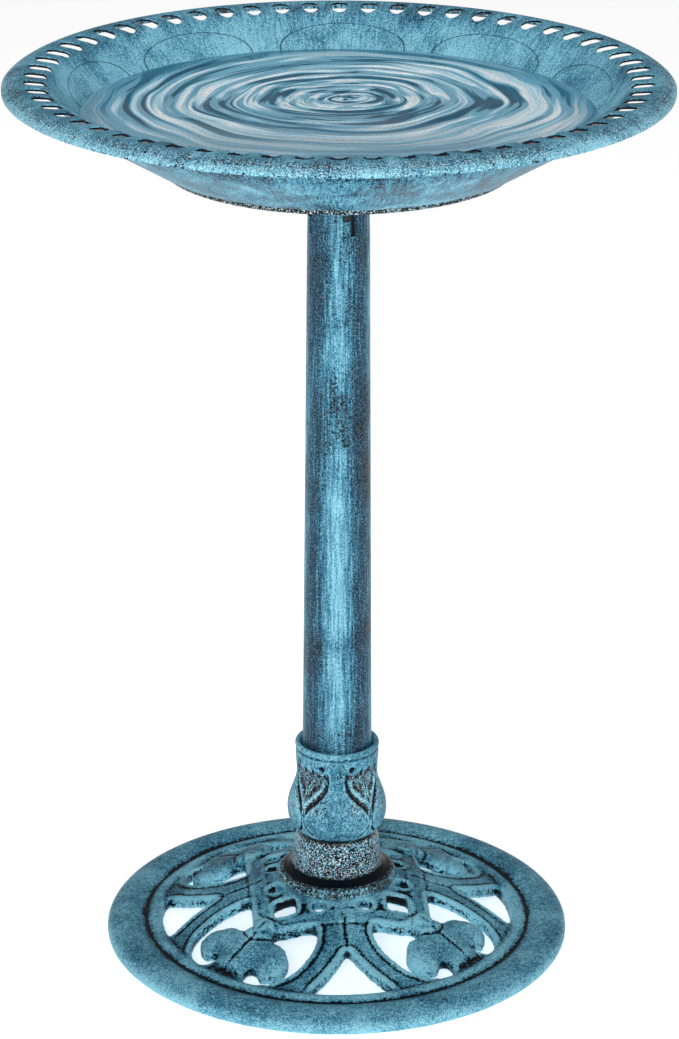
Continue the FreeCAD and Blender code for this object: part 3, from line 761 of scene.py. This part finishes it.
# --- basin
@dataclass
class Basin:
    """Moulded bowl with its slotted rim, and the water in it."""

    height: float = 709.3
    radius: float = 251.5
    wall: float = 2.4
    crest_inset: float = 15.1
    rim_width: float = 35.7
    crest_rise: float = 2.2
    lip_drop: float = 6.3
    lip_height: float = 3.0
    shoulder_sweep: float = 70.0
    shoulder_angle: float = 65.0
    flank_angle: float = 31.0
    floor_radius: float = 136.0
    floor_wall: float = 3.2
    boss_inner: float = 26.0
    boss_outer: float = 38.0
    boss_drop: float = 8.0
    foot_inner: float = 126.1
    foot_outer: float = 133.1
    foot_drop: float = 2.7
    slots: int = 60
    slot_length: float = 18.5
    slot_width: float = 13.2
    slot_middle: float = 226.05
    columns: int = 10  # columns of faces in one slot's sector
    slot_rings: int = 5  # rings each side of a slot's middle
    hole_half: int = 3  # half of the hole, in rings and in columns
    water_level: float = 680.5
    water_gap: float = 0.3

    def top_curve(self) -> Array:
        """Work out the upper side of the wall, from the floor's edge to the lip.

        Returns:
            Dense (radius, height) rows.
        """
        crest = self.radius - self.crest_inset
        bend = (self.crest_inset ** 2 + self.lip_drop ** 2) / (2 * self.lip_drop)
        inner = np.array([self.radius - self.rim_width, self.height - self.crest_rise])
        high, low = math.radians(self.shoulder_angle), math.radians(self.flank_angle)
        centre = inner + self.shoulder_sweep * np.array([-math.sin(high), math.cos(high)])
        angles = np.linspace(low, high, 60)
        shoulder = centre + self.shoulder_sweep * np.stack([np.sin(angles), -np.cos(angles)], 1)
        run = shoulder[0][0] - self.floor_radius
        foot = shoulder[0] - np.array([run, run * math.tan(low)])
        flank = np.linspace(foot, shoulder[0], 40)[:-1]
        rim = np.linspace(inner, [crest, self.height], 40)[1:]
        out = np.linspace(crest, self.radius, 60)[1:]
        lip = np.stack([out, self.height - bend + np.sqrt(bend ** 2 - (out - crest) ** 2)], 1)
        curve = np.concatenate([flank, shoulder, rim, lip])
        # The bowl rolls over into the rim.
        roll = np.abs(curve[:, 0] - inner[0]) < 6
        first, last = curve[roll][0], curve[roll][-1]
        share = np.linspace(0, 1, int(roll.sum()))[:, None]
        curve[roll] = first * (1 - share) ** 2 + inner * 2 * share * (1 - share) + last * share ** 2
        return curve

    def under_curve(self) -> Array:
        """Work out the lower side of the wall.

        Returns:
            Dense (radius, height) rows.
        """
        top = self.top_curve()
        way = np.gradient(top, axis=0)
        way /= np.linalg.norm(way, axis=1)[:, None]
        under = top + self.wall * np.stack([way[:, 1], -way[:, 0]], 1)
        return under[under[:, 0] < self.radius - self.wall]

    def ring_step(self) -> float:
        """Distance between rings of faces in the slotted zone."""
        return self.slot_length / (2 * self.hole_half)

    def outline(self) -> list[Point]:
        """Draw the closed section, from the axis under the floor round to the axis above it.

        Returns:
            The corners in order, as (radius, height).
        """
        top, under = self.top_curve(), self.under_curve()
        floor = float(top[0, 1])
        base = floor - self.floor_wall
        rings = self.slot_middle + np.arange(-self.slot_rings, self.slot_rings + 1) * self.ring_step()

        def along(curve: Array, radii: Iterable[float]) -> list[Place]:
            """Corners on a curve at some radii, with no rounding."""
            return [(float(r), float(np.interp(r, curve[:, 0], curve[:, 1])), 0.0) for r in radii]

        lip_foot = self.height - self.lip_drop - self.lip_height
        corners = [
            (0.0, base, 0.0), (self.boss_inner, base, 0.8), (self.boss_inner, base - self.boss_drop, 0.6),
            (self.boss_outer, base - self.boss_drop, 0.6), (self.boss_outer, base, 0.8),
            (self.foot_inner, base, 0.6), (self.foot_inner, base - self.foot_drop, 0.8),
            (self.foot_outer, base - self.foot_drop, 0.9), (self.foot_outer, base + 1.7, 0.3),
        ]
        corners += along(under, [140, 150, 160, 170, 180, 190, 198, 205, *rings, 244.0, 246.5, 248.2])
        corners += [(self.radius - self.wall, lip_foot, 0.5), (self.radius, lip_foot, 0.7)]
        corners += along(top, [self.radius, 251.1, 250.2, 248.8, 246.8, 244.3, *rings[::-1]])
        corners += along(top, [207.5, 203.5, 199, 194.5, 190, 185, 175, 165, 155, 146, 139])
        corners += [(self.floor_radius, floor, 1.5), (95.0, floor, 0.0), (45.0, floor, 0.0)]
        return softened(corners + [(0.0, floor, 0.0)], 3)

    def slot_edge(self, share: Array) -> Array:
        """Points round a slot, whose ends are half circles.

        Args:
            share: Shares of its length round, from the middle of its +Y side.

        Returns:
            (outwards, sideways) rows.
        """
        half = self.slot_width / 2
        straight = self.slot_length / 2 - half
        length = 4 * straight + 2 * math.pi * half
        rows = []
        for distance_round in (share % 1.0) * length:
            mirror = -1.0 if distance_round > length / 2 else 1.0
            walked = distance_round - length / 2 if mirror < 0 else distance_round
            if walked <= straight:
                point = (walked, half)
            elif walked <= straight + math.pi * half:
                angle = math.pi / 2 - (walked - straight) / half
                point = (straight + half * math.cos(angle), half * math.sin(angle))
            else:
                point = (straight - (walked - straight - math.pi * half), -half)
            rows.append((point[0] * mirror, point[1] * mirror))
        return np.array(rows).reshape(-1, 2)

    def block_share(self, edge: Array) -> Array:
        """How far round the square block of faces that the slot replaces each point lies.

        Args:
            edge: (ring, column) rows on the block's edge.

        Returns:
            Shares of the way round, from the middle of the +column side outwards.
        """
        half = self.hole_half
        girth = 8 * half
        inner, outer = -half + 1e-3, half - 1e-3
        ring, column = edge[:, 0], edge[:, 1]
        share = np.where(column >= outer, ring / girth, 0.0)
        share = np.where((ring >= outer) & (column < outer), (2 * half - column) / girth, share)
        share = np.where((column <= inner) & (ring < outer), (4 * half - ring) / girth, share)
        near = (ring <= inner) & (column > inner) & (column < outer)
        return np.where(near, (6 * half + column) / girth, share)

    def fit_grid(self, piece: Piece) -> Array:
        """Move a sector's grid of faces so that its lines run round a slot.

        Args:
            piece: The sector, centred on +X.

        Returns:
            True for each vertex of the faces that the slot replaces.
        """
        points = positions(piece)
        radius = radius_of(points)
        column = azimuth_of(points) * self.columns * self.slots / 360
        ring = (radius - self.slot_middle) / self.ring_step()
        top, under = self.top_curve(), self.under_curve()
        upper = np.interp(radius, top[:, 0], top[:, 1])
        lower = np.interp(radius, under[:, 0], under[:, 1])
        on_top = np.abs(points[:, 2] - upper) < np.abs(points[:, 2] - lower)
        on_grid = np.abs(points[:, 2] - np.where(on_top, upper, lower)) < 0.05
        on_grid &= np.abs(ring) < self.slot_rings + 0.01
        reach = np.maximum(np.abs(ring), np.abs(column)) / self.hole_half
        widest = self.slot_rings / self.hole_half
        move = on_grid & (reach > 0.99) & (reach < widest)
        edge = np.stack([ring[move], column[move]], 1) / reach[move][:, None]
        width = math.radians(360 / self.slots / self.columns) * self.slot_middle
        square = edge * np.array([self.ring_step(), width])
        fade = ((widest - reach[move]) / (widest - 1)) ** 2
        shift = (self.slot_edge(self.block_share(edge)) - square) * fade[:, None]
        new_radius = self.slot_middle + ring[move] * self.ring_step() + shift[:, 0]
        angle = (column[move] * width + shift[:, 1]) / self.slot_middle
        height = np.where(on_top[move], np.interp(new_radius, top[:, 0], top[:, 1]),
                          np.interp(new_radius, under[:, 0], under[:, 1]))
        points[move] = np.stack([new_radius * np.cos(angle), new_radius * np.sin(angle), height], 1)
        place_points(piece, points)
        return on_grid & (reach < 1.01)

    def open_slot(self, piece: Piece) -> None:
        """Open one slot through the wall: fit the grid round it, cut, bridge and bevel.

        Args:
            piece: The sector, centred on +X.
        """
        hole = self.fit_grid(piece)
        top = self.top_curve()
        make_active(piece)
        bpy.ops.object.mode_set(mode="EDIT")
        choose(piece, "FACE", lambda face: all(hole[v.index] for v in face.verts))
        bpy.ops.mesh.delete(type="FACE")
        widest_angle = math.radians(self.columns / 2 - 0.5) * 360 / self.slots / self.columns

        def by_slot(item: bmesh.types.BMEdge) -> Vector | None:
            """Middle of an edge in millimetres, or None where it is away from the slot."""
            middle = (item.verts[0].co + item.verts[1].co) * 500
            away = abs(math.hypot(middle.x, middle.y) - self.slot_middle)
            inside = away < self.slot_length / 2 + 1 and abs(math.atan2(middle.y, middle.x)) < widest_angle
            return middle if inside else None

        def on_corner(item: bmesh.types.BMEdge, upper: bool) -> bool:
            """Whether an edge is where the slot's wall meets the upper or the lower side."""
            middle = by_slot(item)
            if middle is None or len(item.link_faces) != 2 or item.calc_face_angle() < math.radians(50):
                return False
            half_way = np.interp(math.hypot(middle.x, middle.y), top[:, 0], top[:, 1]) - self.wall / 2
            return bool((middle.z > half_way) == upper)

        choose(piece, "EDGE", lambda item: item.is_boundary and by_slot(item) is not None)
        bpy.ops.mesh.bridge_edge_loops()
        bpy.ops.mesh.select_all(action="SELECT")
        bpy.ops.mesh.normals_make_consistent(inside=False)
        choose(piece, "EDGE", lambda item: on_corner(item, True))
        bpy.ops.mesh.bevel(offset=mm(1.25), segments=3, profile=0.55, affect="EDGES")
        choose(piece, "EDGE", lambda item: on_corner(item, False))
        bpy.ops.mesh.bevel(offset=mm(0.45), segments=1, affect="EDGES")
        bpy.ops.object.mode_set(mode="OBJECT")

    def mark_paint(self, piece: Piece) -> None:
        """Store where the bowl's primer stays bare, where painted shade darkens it, and where its coat is
        rubbed, painted paler or stippled.

        Args:
            piece: The finished bowl.
        """
        points = positions(piece)
        radius = radius_of(points)
        top = self.top_curve()
        depth = np.interp(radius, top[:, 0], top[:, 1]) - points[:, 2]
        under = depth > 1.0
        # Painted shade darkens the walls of the slots fully and the whole underside a little; the corners
        # of the foot ring are darker too.
        floor = float(top[0, 1])
        from_foot = np.abs(radius - (self.foot_inner + self.foot_outer) / 2)
        slot_wall_shade = (np.abs(radius - self.slot_middle) < self.slot_length / 2 + 0.3) & under
        corner = (points[:, 2] < floor - 0.1) & (from_foot > 3) & (from_foot < 5)
        hollow = np.select([slot_wall_shade, corner, under], [1.0, 0.25, 0.16], 0.0)
        set_attribute(piece, "hollow", hollow)
        # The lip is rubbed pale, and the bowl's inner wall inside the slots is painted paler.
        inner = 0.55 * (depth < 1.0) * smooth_step(radius, 218, 208)
        set_attribute(piece, "ridge", np.maximum(0.7 * smooth_step(radius, 246, 250.5), inner))
        # The lip and the foot ring are stippled pale.
        foot = (from_foot < 5) & (points[:, 2] < floor - 1.7)
        set_attribute(piece, "stipple", np.maximum(smooth_step(radius, 236, 248) * 0.5, foot))

    def shell(self) -> Piece:
        """Spin one sector of the bowl, open its slot and copy it round.

        Returns:
            The bowl.
        """
        piece = spin_outline("basin_shell", self.outline(), 360 / self.slots, self.columns)
        self.open_slot(piece)
        copy_round(piece, self.slots)
        close_up(piece, 40)
        self.mark_paint(piece)
        return piece

    def water(self) -> Piece:
        """Fill the bowl to its level with a closed body that has low ripples on top.

        Returns:
            The water.
        """
        curve = self.top_curve()
        inside = curve[curve[:, 1] < self.water_level - 0.5]
        wall = [(float(r) - self.water_gap, float(z)) for r, z in inside[::12]]
        edge = float(np.interp(self.water_level, curve[:, 1], curve[:, 0])) - self.water_gap
        floor = float(curve[0, 1]) + self.water_gap
        rings = [edge, edge - 1.5, *np.arange(edge // 3 * 3 - 3, 2, -3), 0.0]
        outline = [(0.0, floor), (self.floor_radius - 1, floor), *wall]
        outline += [(float(ring), self.water_level) for ring in rings]
        piece = spin_outline("water", outline, 360, 240)
        points = positions(piece)
        radius = radius_of(points)
        reach = np.hypot(points[:, 0] - WHORL[0], points[:, 1] - WHORL[1])
        ripple = 0.35 * np.sin(1.55 * reach ** 0.72) * smooth_step(radius, edge, edge - 25)
        points[:, 2] += ripple * ((points[:, 2] > self.water_level - 0.01) & (radius > 0.1))
        place_points(piece, points)
        close_up(piece, 40)
        return piece

    def build(self, frame: dict) -> list[Piece]:
        """Build and dress the basin, its water and the lock pieces under it.

        Args:
            frame: The loaded CAD part.

        Returns:
            The pieces.
        """
        paint = SpongedPaint("sponged_paint_bowl", strokes=Strokes.RADIAL, petals=10, soot=0.385)
        shell = self.shell()
        finish(shell, paint.make())
        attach(shell, "basin")
        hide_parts("basin")
        water = self.water()
        finish(water, RippledWater().make())
        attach(water, "basin")
        plug, screws = frame["nodes"]["basin_lock_plug"], frame["nodes"]["basin_lock_screws"]
        finish(plug, MouldedResin("moulded_resin").make())
        finish(screws, ZincPlate("zinc_plate").make())
        return [shell, water, plug, screws]


# --- column
@dataclass
class Column:
    """Tapered tube with its plug, bolt, washer and nut, all carried over from the CAD."""

    fasteners: tuple[str, ...] = ("centre_bolt", "centre_washer", "column_nut")

    def build(self, frame: dict) -> list[Piece]:
        """Dress the column's CAD nodes.

        Args:
            frame: The loaded CAD part.

        Returns:
            The pieces.
        """
        # The column's paint has painted highlight stripes, one of them down its front.
        paint = SpongedPaint("brushed_paint_column", strokes=Strokes.UPRIGHT, painted_highlight_bands=0.26, shade=0.14,
                             stroke_weight=1.5, fine_weight=1.1, smudge=0.7, soot=0.37,
                             patch=60.0, deep="#12394f")
        tube, plug = frame["nodes"]["column_tube"], frame["nodes"]["column_foot_plug"]
        finish(tube, paint.make())
        finish(plug, MouldedResin("moulded_resin_plug").make())
        fasteners = [frame["nodes"][name] for name in self.fasteners]
        zinc = ZincPlate("zinc_plate_centre").make()
        for fastener in fasteners:
            finish(fastener, zinc)
        return [tube, plug, *fasteners]


# --- collar
@dataclass
class Collar:
    """Cast socket with four buds and the leaves between them."""

    hub: float = 46.0
    top: float = 166.5
    seat: float = 28.5  # close-fitting seat of the column
    bore: float = 29.6
    bolt_bore: float = 4.3
    first_bud: float = 270.0
    # (height above the hub, radius) from the flange's cove up to the neck ring
    profile: tuple[Point, ...] = (
        (14.5, 35.5), (18, 35.4), (24, 34.9), (30, 34.3), (36, 33.4), (39, 32.6), (41.4, 31.4),
        (43, 31.0), (44.4, 31.9), (45.8, 33.6), (48, 35.2), (52, 36.7), (56, 37.6), (60, 38.1),
        (63, 38.2), (67, 37.9), (72, 36.8), (77, 35.3), (82, 33.9), (87, 32.8), (92, 32.2),
        (98, 32.2), (104, 32.7), (109, 33.0), (112.6, 33.0))
    # (height above the hub, half width in degrees) of a bud
    bud: tuple[Point, ...] = (
        (44, 8), (46, 20), (49, 32), (54, 40), (60, 42.5), (66, 41.5), (71, 37), (76, 29),
        (82, 20), (88, 13.5), (95, 11.5), (101, 12), (106, 14.5), (112, 20))

    def outline(self) -> list[Point]:
        """Draw the closed section, from the bolt bore under the floor, up the outside and down the bore.

        Returns:
            The corners in order, as (radius, height).
        """
        hub, top = self.hub, self.top
        corners = [
            (self.bolt_bore, hub, 0.3), (46.5, hub, 0.4), (47.5, hub + 1.2, 0.5), (47.5, hub + 4.6, 0.8),
            (46.4, hub + 6.8, 1.0), (44.0, hub + 7.9, 1.2), (40.5, hub + 9.2, 1.2),
            (37.6, hub + 11.4, 1.0), (35.6, hub + 13.0, 0.6)]
        heights = np.arange(self.profile[0][0], self.profile[-1][0] + 0.1, 1.15)
        radii = np.interp(heights, *zip(*self.profile))
        corners += [(float(radius), hub + float(height), 0.0) for height, radius in zip(heights, radii)]
        corners += [
            (32.7, top - 7.2, 0.3), (31.7, top - 6.4, 0.4), (31.9, top - 5.6, 0.3), (33.0, top - 4.9, 0.5),
            (33.6, top - 3.2, 0.8), (33.2, top - 1.2, 0.8), (31.8, top, 0.8), (30.2, top - 0.5, 0.5),
            (self.bore, top - 2.0, 0.4), (self.bore, hub + 30.0, 0.3), (self.seat, hub + 28.0, 0.3),
            (self.seat, hub + 4.0, 0.3), (self.bolt_bore, hub + 4.0, 0.3)]
        return softened(corners, 2)

    def relief(self, angle: Array, height: Array) -> Array:
        """Height of the carving above the turned shape.

        Args:
            angle: Degrees from the nearest bud's axis, 0 to 45.
            height: Height above the hub.

        Returns:
            How far the surface moves outwards.
        """
        half = np.interp(height, *zip(*self.bud))
        away = np.radians(angle - half) * 34.0 * (1 - 0.35 * plateau(height, 66, 70, 84, 92))
        body = plateau(height, 45, 56, 74, 92)
        carved = np.sqrt(np.clip(1 - (angle / half) ** 2, 0, 1)) * 1.5 * body * (away < 0)
        # The groove round a bud, the sunk field outside it and the ribbon in the field.
        carved -= 1.7 * bell(away, 0.7, 1.0) * plateau(height, 43, 48, 101, 107)
        carved -= 1.7 * smooth_step(away, 0.8, 2.6) * plateau(height, 58, 66, 100, 106)
        carved += 1.9 * bell(away, 4.9, 1.9) * plateau(height, 66, 72, 94, 101)
        # The leaf between two buds, and its vein.
        middle = (45 - angle) * 0.6
        carved += 2.1 * bell(middle, 0, 3.0) * plateau(height, 52, 60, 86, 96)
        carved -= 0.8 * bell(middle, 0, 0.7) * plateau(height, 60, 66, 88, 94)
        # Pits under the neck ring.
        carved -= 3.2 * bell((angle - 22) * 0.58, 0, 2.5) * bell(height, 106.0, 2.8)
        carved -= 1.9 * bell((angle - 38) * 0.58, 0, 1.3) * bell(height, 103.0, 3.0)
        return carved

    def mark_paint(self, piece: Piece) -> None:
        """Store where the collar's primer stays bare and where its coat is stippled.

        Args:
            piece: The carved collar.
        """
        hollow = mark_relief(piece, 14, 0.55)
        points = positions(piece)
        height = points[:, 2] - self.hub
        flange = height < 9.5
        leaves = 0.6 * plateau(height, 64, 70, 98, 106)
        leaves *= smooth_step(np.abs(folded(points, self.first_bud)), 12, 22)
        neck = np.maximum(plateau(height, 11, 16, 40, 45), 0.45 * flange)
        set_attribute(piece, "stipple", np.maximum(neck, leaves))
        # The cove above the flange is bare primer.
        cove = plateau(radius_of(points), 35.4, 37.6, 40.2, 44.2) * (height > 6) * (height < 15)
        hollow = hollow * np.where(height > 47, 0.62, 0.4)
        set_attribute(piece, "hollow", np.maximum.reduce([hollow, cove, 0.22 * flange]))

    def build(self, frame: dict) -> list[Piece]:
        """Turn the collar, carve it, and dress it and its screws.

        Args:
            frame: The loaded CAD part.

        Returns:
            The pieces.
        """
        piece = spin_outline("leaf_collar", self.outline(), 90, 84)
        copy_round(piece, 4)
        points = positions(piece)
        radius = radius_of(points)
        height = points[:, 2] - self.hub
        outer = (radius > 30.4) & (height > 20) & (height < 112.8)
        carving = self.relief(np.abs(folded(points, self.first_bud)), height)
        grown = radius + np.where(outer, carving, 0)
        points[:, :2] *= (grown / np.maximum(radius, 1e-3))[:, None]
        place_points(piece, points)
        close_up(piece, 50)
        self.mark_paint(piece)
        finish(piece, SpongedPaint("sponged_paint_collar", soot=0.41, hollow_soot=1.2).make())
        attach(piece, "pedestal")
        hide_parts("collar")
        screws = frame["nodes"]["collar_screws"]
        finish(screws, ZincPlate("zinc_plate_collar").make())
        return [piece, screws]


# --- base
@dataclass
class OpenworkBase:
    """Cast base: the CAD casting with its bars rounded, beaded and carved."""

    voxel: float = 1.85
    hub_flat: float = 52.0
    ring_inner: float = 141.0
    ring_groove: float = 154.3
    first_arm: float = 275.0
    strap_outer: float = 71.0
    strap_inner: float = 57.0
    bud_middle: float = 94.0
    filler: tuple[Point, ...] = ((148, 4.5), (161, 4.5), (161, 9.9), (148, 9.9))

    def along_axis(self, points: Array, axis: float) -> tuple[Array, Array]:
        """Measure points along the nearest of four axes.

        Args:
            points: Positions.
            axis: Azimuth of the first axis, in degrees.

        Returns:
            Their distances outwards along the axis, and sideways from it.
        """
        angle = np.radians(folded(points, axis))
        radius = radius_of(points)
        return radius * np.cos(angle), radius * np.sin(angle)

    def carving(self, points: Array, edge: Array) -> Array:
        """Height of the carving on the openwork's upper side.

        Args:
            points: Positions.
            edge: Plan distance of each point to the nearest opening.

        Returns:
            How far the surface moves upwards.
        """
        out, side = self.along_axis(points, self.first_arm + 45)
        arm_out, arm_side = self.along_axis(points, self.first_arm)
        from_bud = out - self.bud_middle
        # Strap: a raised square band round the hub.
        inner, outer = self.strap_inner, self.strap_outer
        strap = plateau(arm_out, inner - 1, inner + 1.5, outer - 1.5, outer + 1)
        # Scrolls and their bud: cushions with a seam between the two stems.
        motif = plateau(out, 80, 84, 130, 139) * smooth_step(np.abs(side), 48, 42) * (edge < 40)
        cushion = 6.0 * (1 - np.exp(-edge / 6.0)) - 1.4
        cushion += 1.8 * np.exp(-(from_bud / 9.5) ** 4 - (np.abs(side) / 12.5) ** 4)
        cushion -= 1.5 * bell(np.hypot(from_bud / 11.5, side / 13.5), 1, 0.09)
        cushion -= 1.8 * bell(side, 0, 1.0) * plateau(out, 84, 88, 137, 141)
        # Arms: a bead along each edge and a groove beside it.
        bead = 1.1 * bell(edge, 2.4, 1.5) - 1.0 * bell(edge, 5.6, 1.1)
        lift = strap * 0.9 - 0.6 * bell(arm_out, outer + 0.6, 1.0) + motif * cushion
        lift += (1 - motif) * (1 - 0.6 * strap) * bead
        lift -= 1.8 * bell(arm_side, 0, 0.9) * plateau(arm_out, 58, 62, 94, 98)
        return lift * plateau(radius_of(points), self.hub_flat, self.hub_flat + 5,
                              self.ring_inner - 5, self.ring_inner)

    def rounded_copy(self, casting: Piece) -> Piece:
        """Copy the CAD casting and round its edges.

        Args:
            casting: The CAD node.

        Returns:
            The copy, with its own mesh.
        """
        piece = casting.copy()
        piece.data = casting.data.copy()
        for key in list(piece.keys()):
            del piece[key]
        piece.parent = None
        piece.name = "openwork_base"
        bpy.context.scene.collection.objects.link(piece)
        make_active(piece)
        bpy.ops.object.mode_set(mode="EDIT")
        bpy.ops.mesh.select_all(action="SELECT")
        bpy.ops.mesh.remove_doubles(threshold=mm(0.01))
        bpy.ops.object.mode_set(mode="OBJECT")
        # A ring of filler thickens the wall under the groove, so that rounding does not open it.
        filler = spin_outline("ring_filler", self.filler, 360, 180)
        close_up(filler)
        make_active(piece)
        filler.select_set(True)
        bpy.ops.object.join()
        apply_modifier(piece, "REMESH", mode="VOXEL", voxel_size=mm(self.voxel))
        apply_modifier(piece, "SMOOTH", factor=0.5, iterations=5)
        return piece

    def carve(self, piece: Piece) -> None:
        """Raise and sink the upper side of the openwork, by its distance to the openings.

        Args:
            piece: The rounded casting.
        """
        points = positions(piece)
        upwards = read_vectors(piece, "normal")[:, 2]
        radius = radius_of(points)
        web = (radius > self.hub_flat - 2) & (radius < self.ring_inner + 1)
        walls = points[(np.abs(upwards) < 0.45) & web]
        tree = KDTree(len(walls))
        for index, point in enumerate(walls):
            tree.insert((point[0], point[1], 0), index)
        tree.balance()
        upper = (upwards > 0.3) & web
        edge = np.full(len(points), 50.0)
        for index in np.nonzero(upper)[0]:
            edge[index] = tree.find((points[index, 0], points[index, 1], 0))[2]
        lift = self.carving(points, edge) * smooth_step(upwards, 0.3, 0.75)
        points[:, 2] = np.maximum(points[:, 2] + np.where(upper, lift, 0), 0)
        place_points(piece, points)
        apply_modifier(piece, "SMOOTH", factor=0.5, iterations=1)
        close_up(piece, 60)

    def mark_paint(self, piece: Piece) -> None:
        """Store where the base's primer stays bare and where painted shade darkens the walls of its
        openings.

        Args:
            piece: The carved casting.
        """
        hollow = mark_relief(piece, 12, 0.7)
        points = positions(piece)
        radius = radius_of(points)
        groove = bell(radius, self.ring_groove, 1.3) * (points[:, 2] > 7)
        # Painted shade: the walls of the openings are darker than the carved side, most of all near the
        # hub.
        upright = smooth_step(np.abs(read_vectors(piece, "normal")[:, 2]), 0.6, 0.2)
        upright *= (radius > self.hub_flat) & (radius < self.ring_inner + 2)
        upright *= np.where(radius < 64, 1.0, 0.38)
        set_attribute(piece, "hollow", np.maximum.reduce([hollow, groove, upright]))

    def build(self, frame: dict) -> list[Piece]:
        """Round and carve a copy of the casting, and dress it.

        Args:
            frame: The loaded CAD part.

        Returns:
            The piece, in a list.
        """
        piece = self.rounded_copy(frame["nodes"]["base_casting"])
        self.carve(piece)
        self.mark_paint(piece)
        finish(piece, SpongedPaint("sponged_paint_base", soot=0.385, patch=46.0).make())
        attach(piece, "pedestal")
        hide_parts("base_casting")
        return [piece]


# --- studio
@dataclass(frozen=True)
class Softbox:
    """Square soft light aimed at a point; places and sizes are in metres, the power in watts."""

    name: str
    place: Place
    size: float
    power: float
    target: Place

    def hang(self) -> None:
        """Add the light to the scene."""
        data = bpy.data.lights.new(self.name, "AREA")
        data.energy = self.power
        data.size = self.size
        lamp = bpy.data.objects.new(self.name, data)
        lamp.location = self.place
        way = Vector(self.target) - Vector(self.place)
        lamp.rotation_euler = way.to_track_quat("-Z", "Y").to_euler()
        bpy.context.scene.collection.objects.link(lamp)


@dataclass
class Studio:
    """White surroundings, soft lights and the camera; places are in metres, angles in degrees."""

    lens: float = 129.97
    place: Place = (0.00136, -2.729, 1.406)
    tilt: float = 68.91
    roll: float = 0.18
    lights: tuple[Softbox, ...] = (
        Softbox("front_softbox", (-0.3, -3.0, 1.5), 1.0, 52.0, (0, 0, 0.35)),
        Softbox("top_softbox", (0.1, 0.2, 2.6), 1.2, 14.0, (0, 0, 0.3)),
        Softbox("right_softbox", (2.2, -0.9, 1.5), 1.0, 2.5, (0, 0, 0.35)),
    )

    def sky(self) -> None:
        """White world, which lights the object less than it shows behind it."""
        world = bpy.data.worlds.new("studio_world")
        world.use_nodes = True
        tree = world.node_tree
        seen = add_node(tree, "ShaderNodeLightPath", {}).outputs["Is Camera Ray"]
        strength = ranged(tree, seen, 0.0, 1.0, 0.3, 0.95)
        feed(tree, tree.nodes["Background"], {0: (1.0, 1.0, 1.0, 1.0), 1: strength})
        bpy.context.scene.world = world

    def floor(self) -> None:
        """Wide flat white floor that glows a little, so that it stays white in shade."""
        deselect()
        bpy.ops.mesh.primitive_plane_add(size=40.0, location=(0, 0, -mm(0.2)))
        floor = bpy.context.active_object
        floor.name = "studio_floor"
        material, tree, shader, space = new_material("studio_white")
        colour = blend(tree, noise(tree, space, 900.0), "#fbfbfb", "#ffffff")
        feed(tree, shader, {"Base Color": colour, "Roughness": 0.9,
                            "Emission Color": (1, 1, 1, 1), "Emission Strength": 0.6})
        finish(floor, material)

    def camera(self) -> None:
        """Camera with a tilt about X after a small roll about its own axis."""
        data = bpy.data.cameras.new("camera")
        data.lens = self.lens
        data.sensor_width = 36.0
        data.sensor_fit = "AUTO"
        data.clip_end = 100.0
        camera = bpy.data.objects.new("camera", data)
        camera.location = self.place
        camera.rotation_mode = "XYZ"
        turn = Matrix.Rotation(math.radians(self.tilt), 3, "X")
        turn = turn @ Matrix.Rotation(math.radians(self.roll), 3, "Z")
        camera.rotation_euler = turn.to_euler("XYZ")
        bpy.context.scene.collection.objects.link(camera)
        bpy.context.scene.camera = camera

    def build(self) -> None:
        """Set up the world, the floor, the lights and the camera."""
        bpy.context.scene.view_settings.view_transform = "Standard"
        self.sky()
        self.floor()
        for light in self.lights:
            light.hang()
        self.camera()


def main() -> None:
    """Build every sub-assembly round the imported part, and report its pieces."""
    logging.basicConfig(level=logging.INFO, format="%(message)s")
    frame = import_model()
    Studio().build()
    for assembly in (OpenworkBase(), Collar(), Column(), Basin()):
        for piece in assembly.build(frame):
            triangles = sum(len(face.vertices) - 2 for face in piece.data.polygons)
            log.info("%s: %d triangles", piece.name, triangles)


if __name__ == "__main__":
    main()
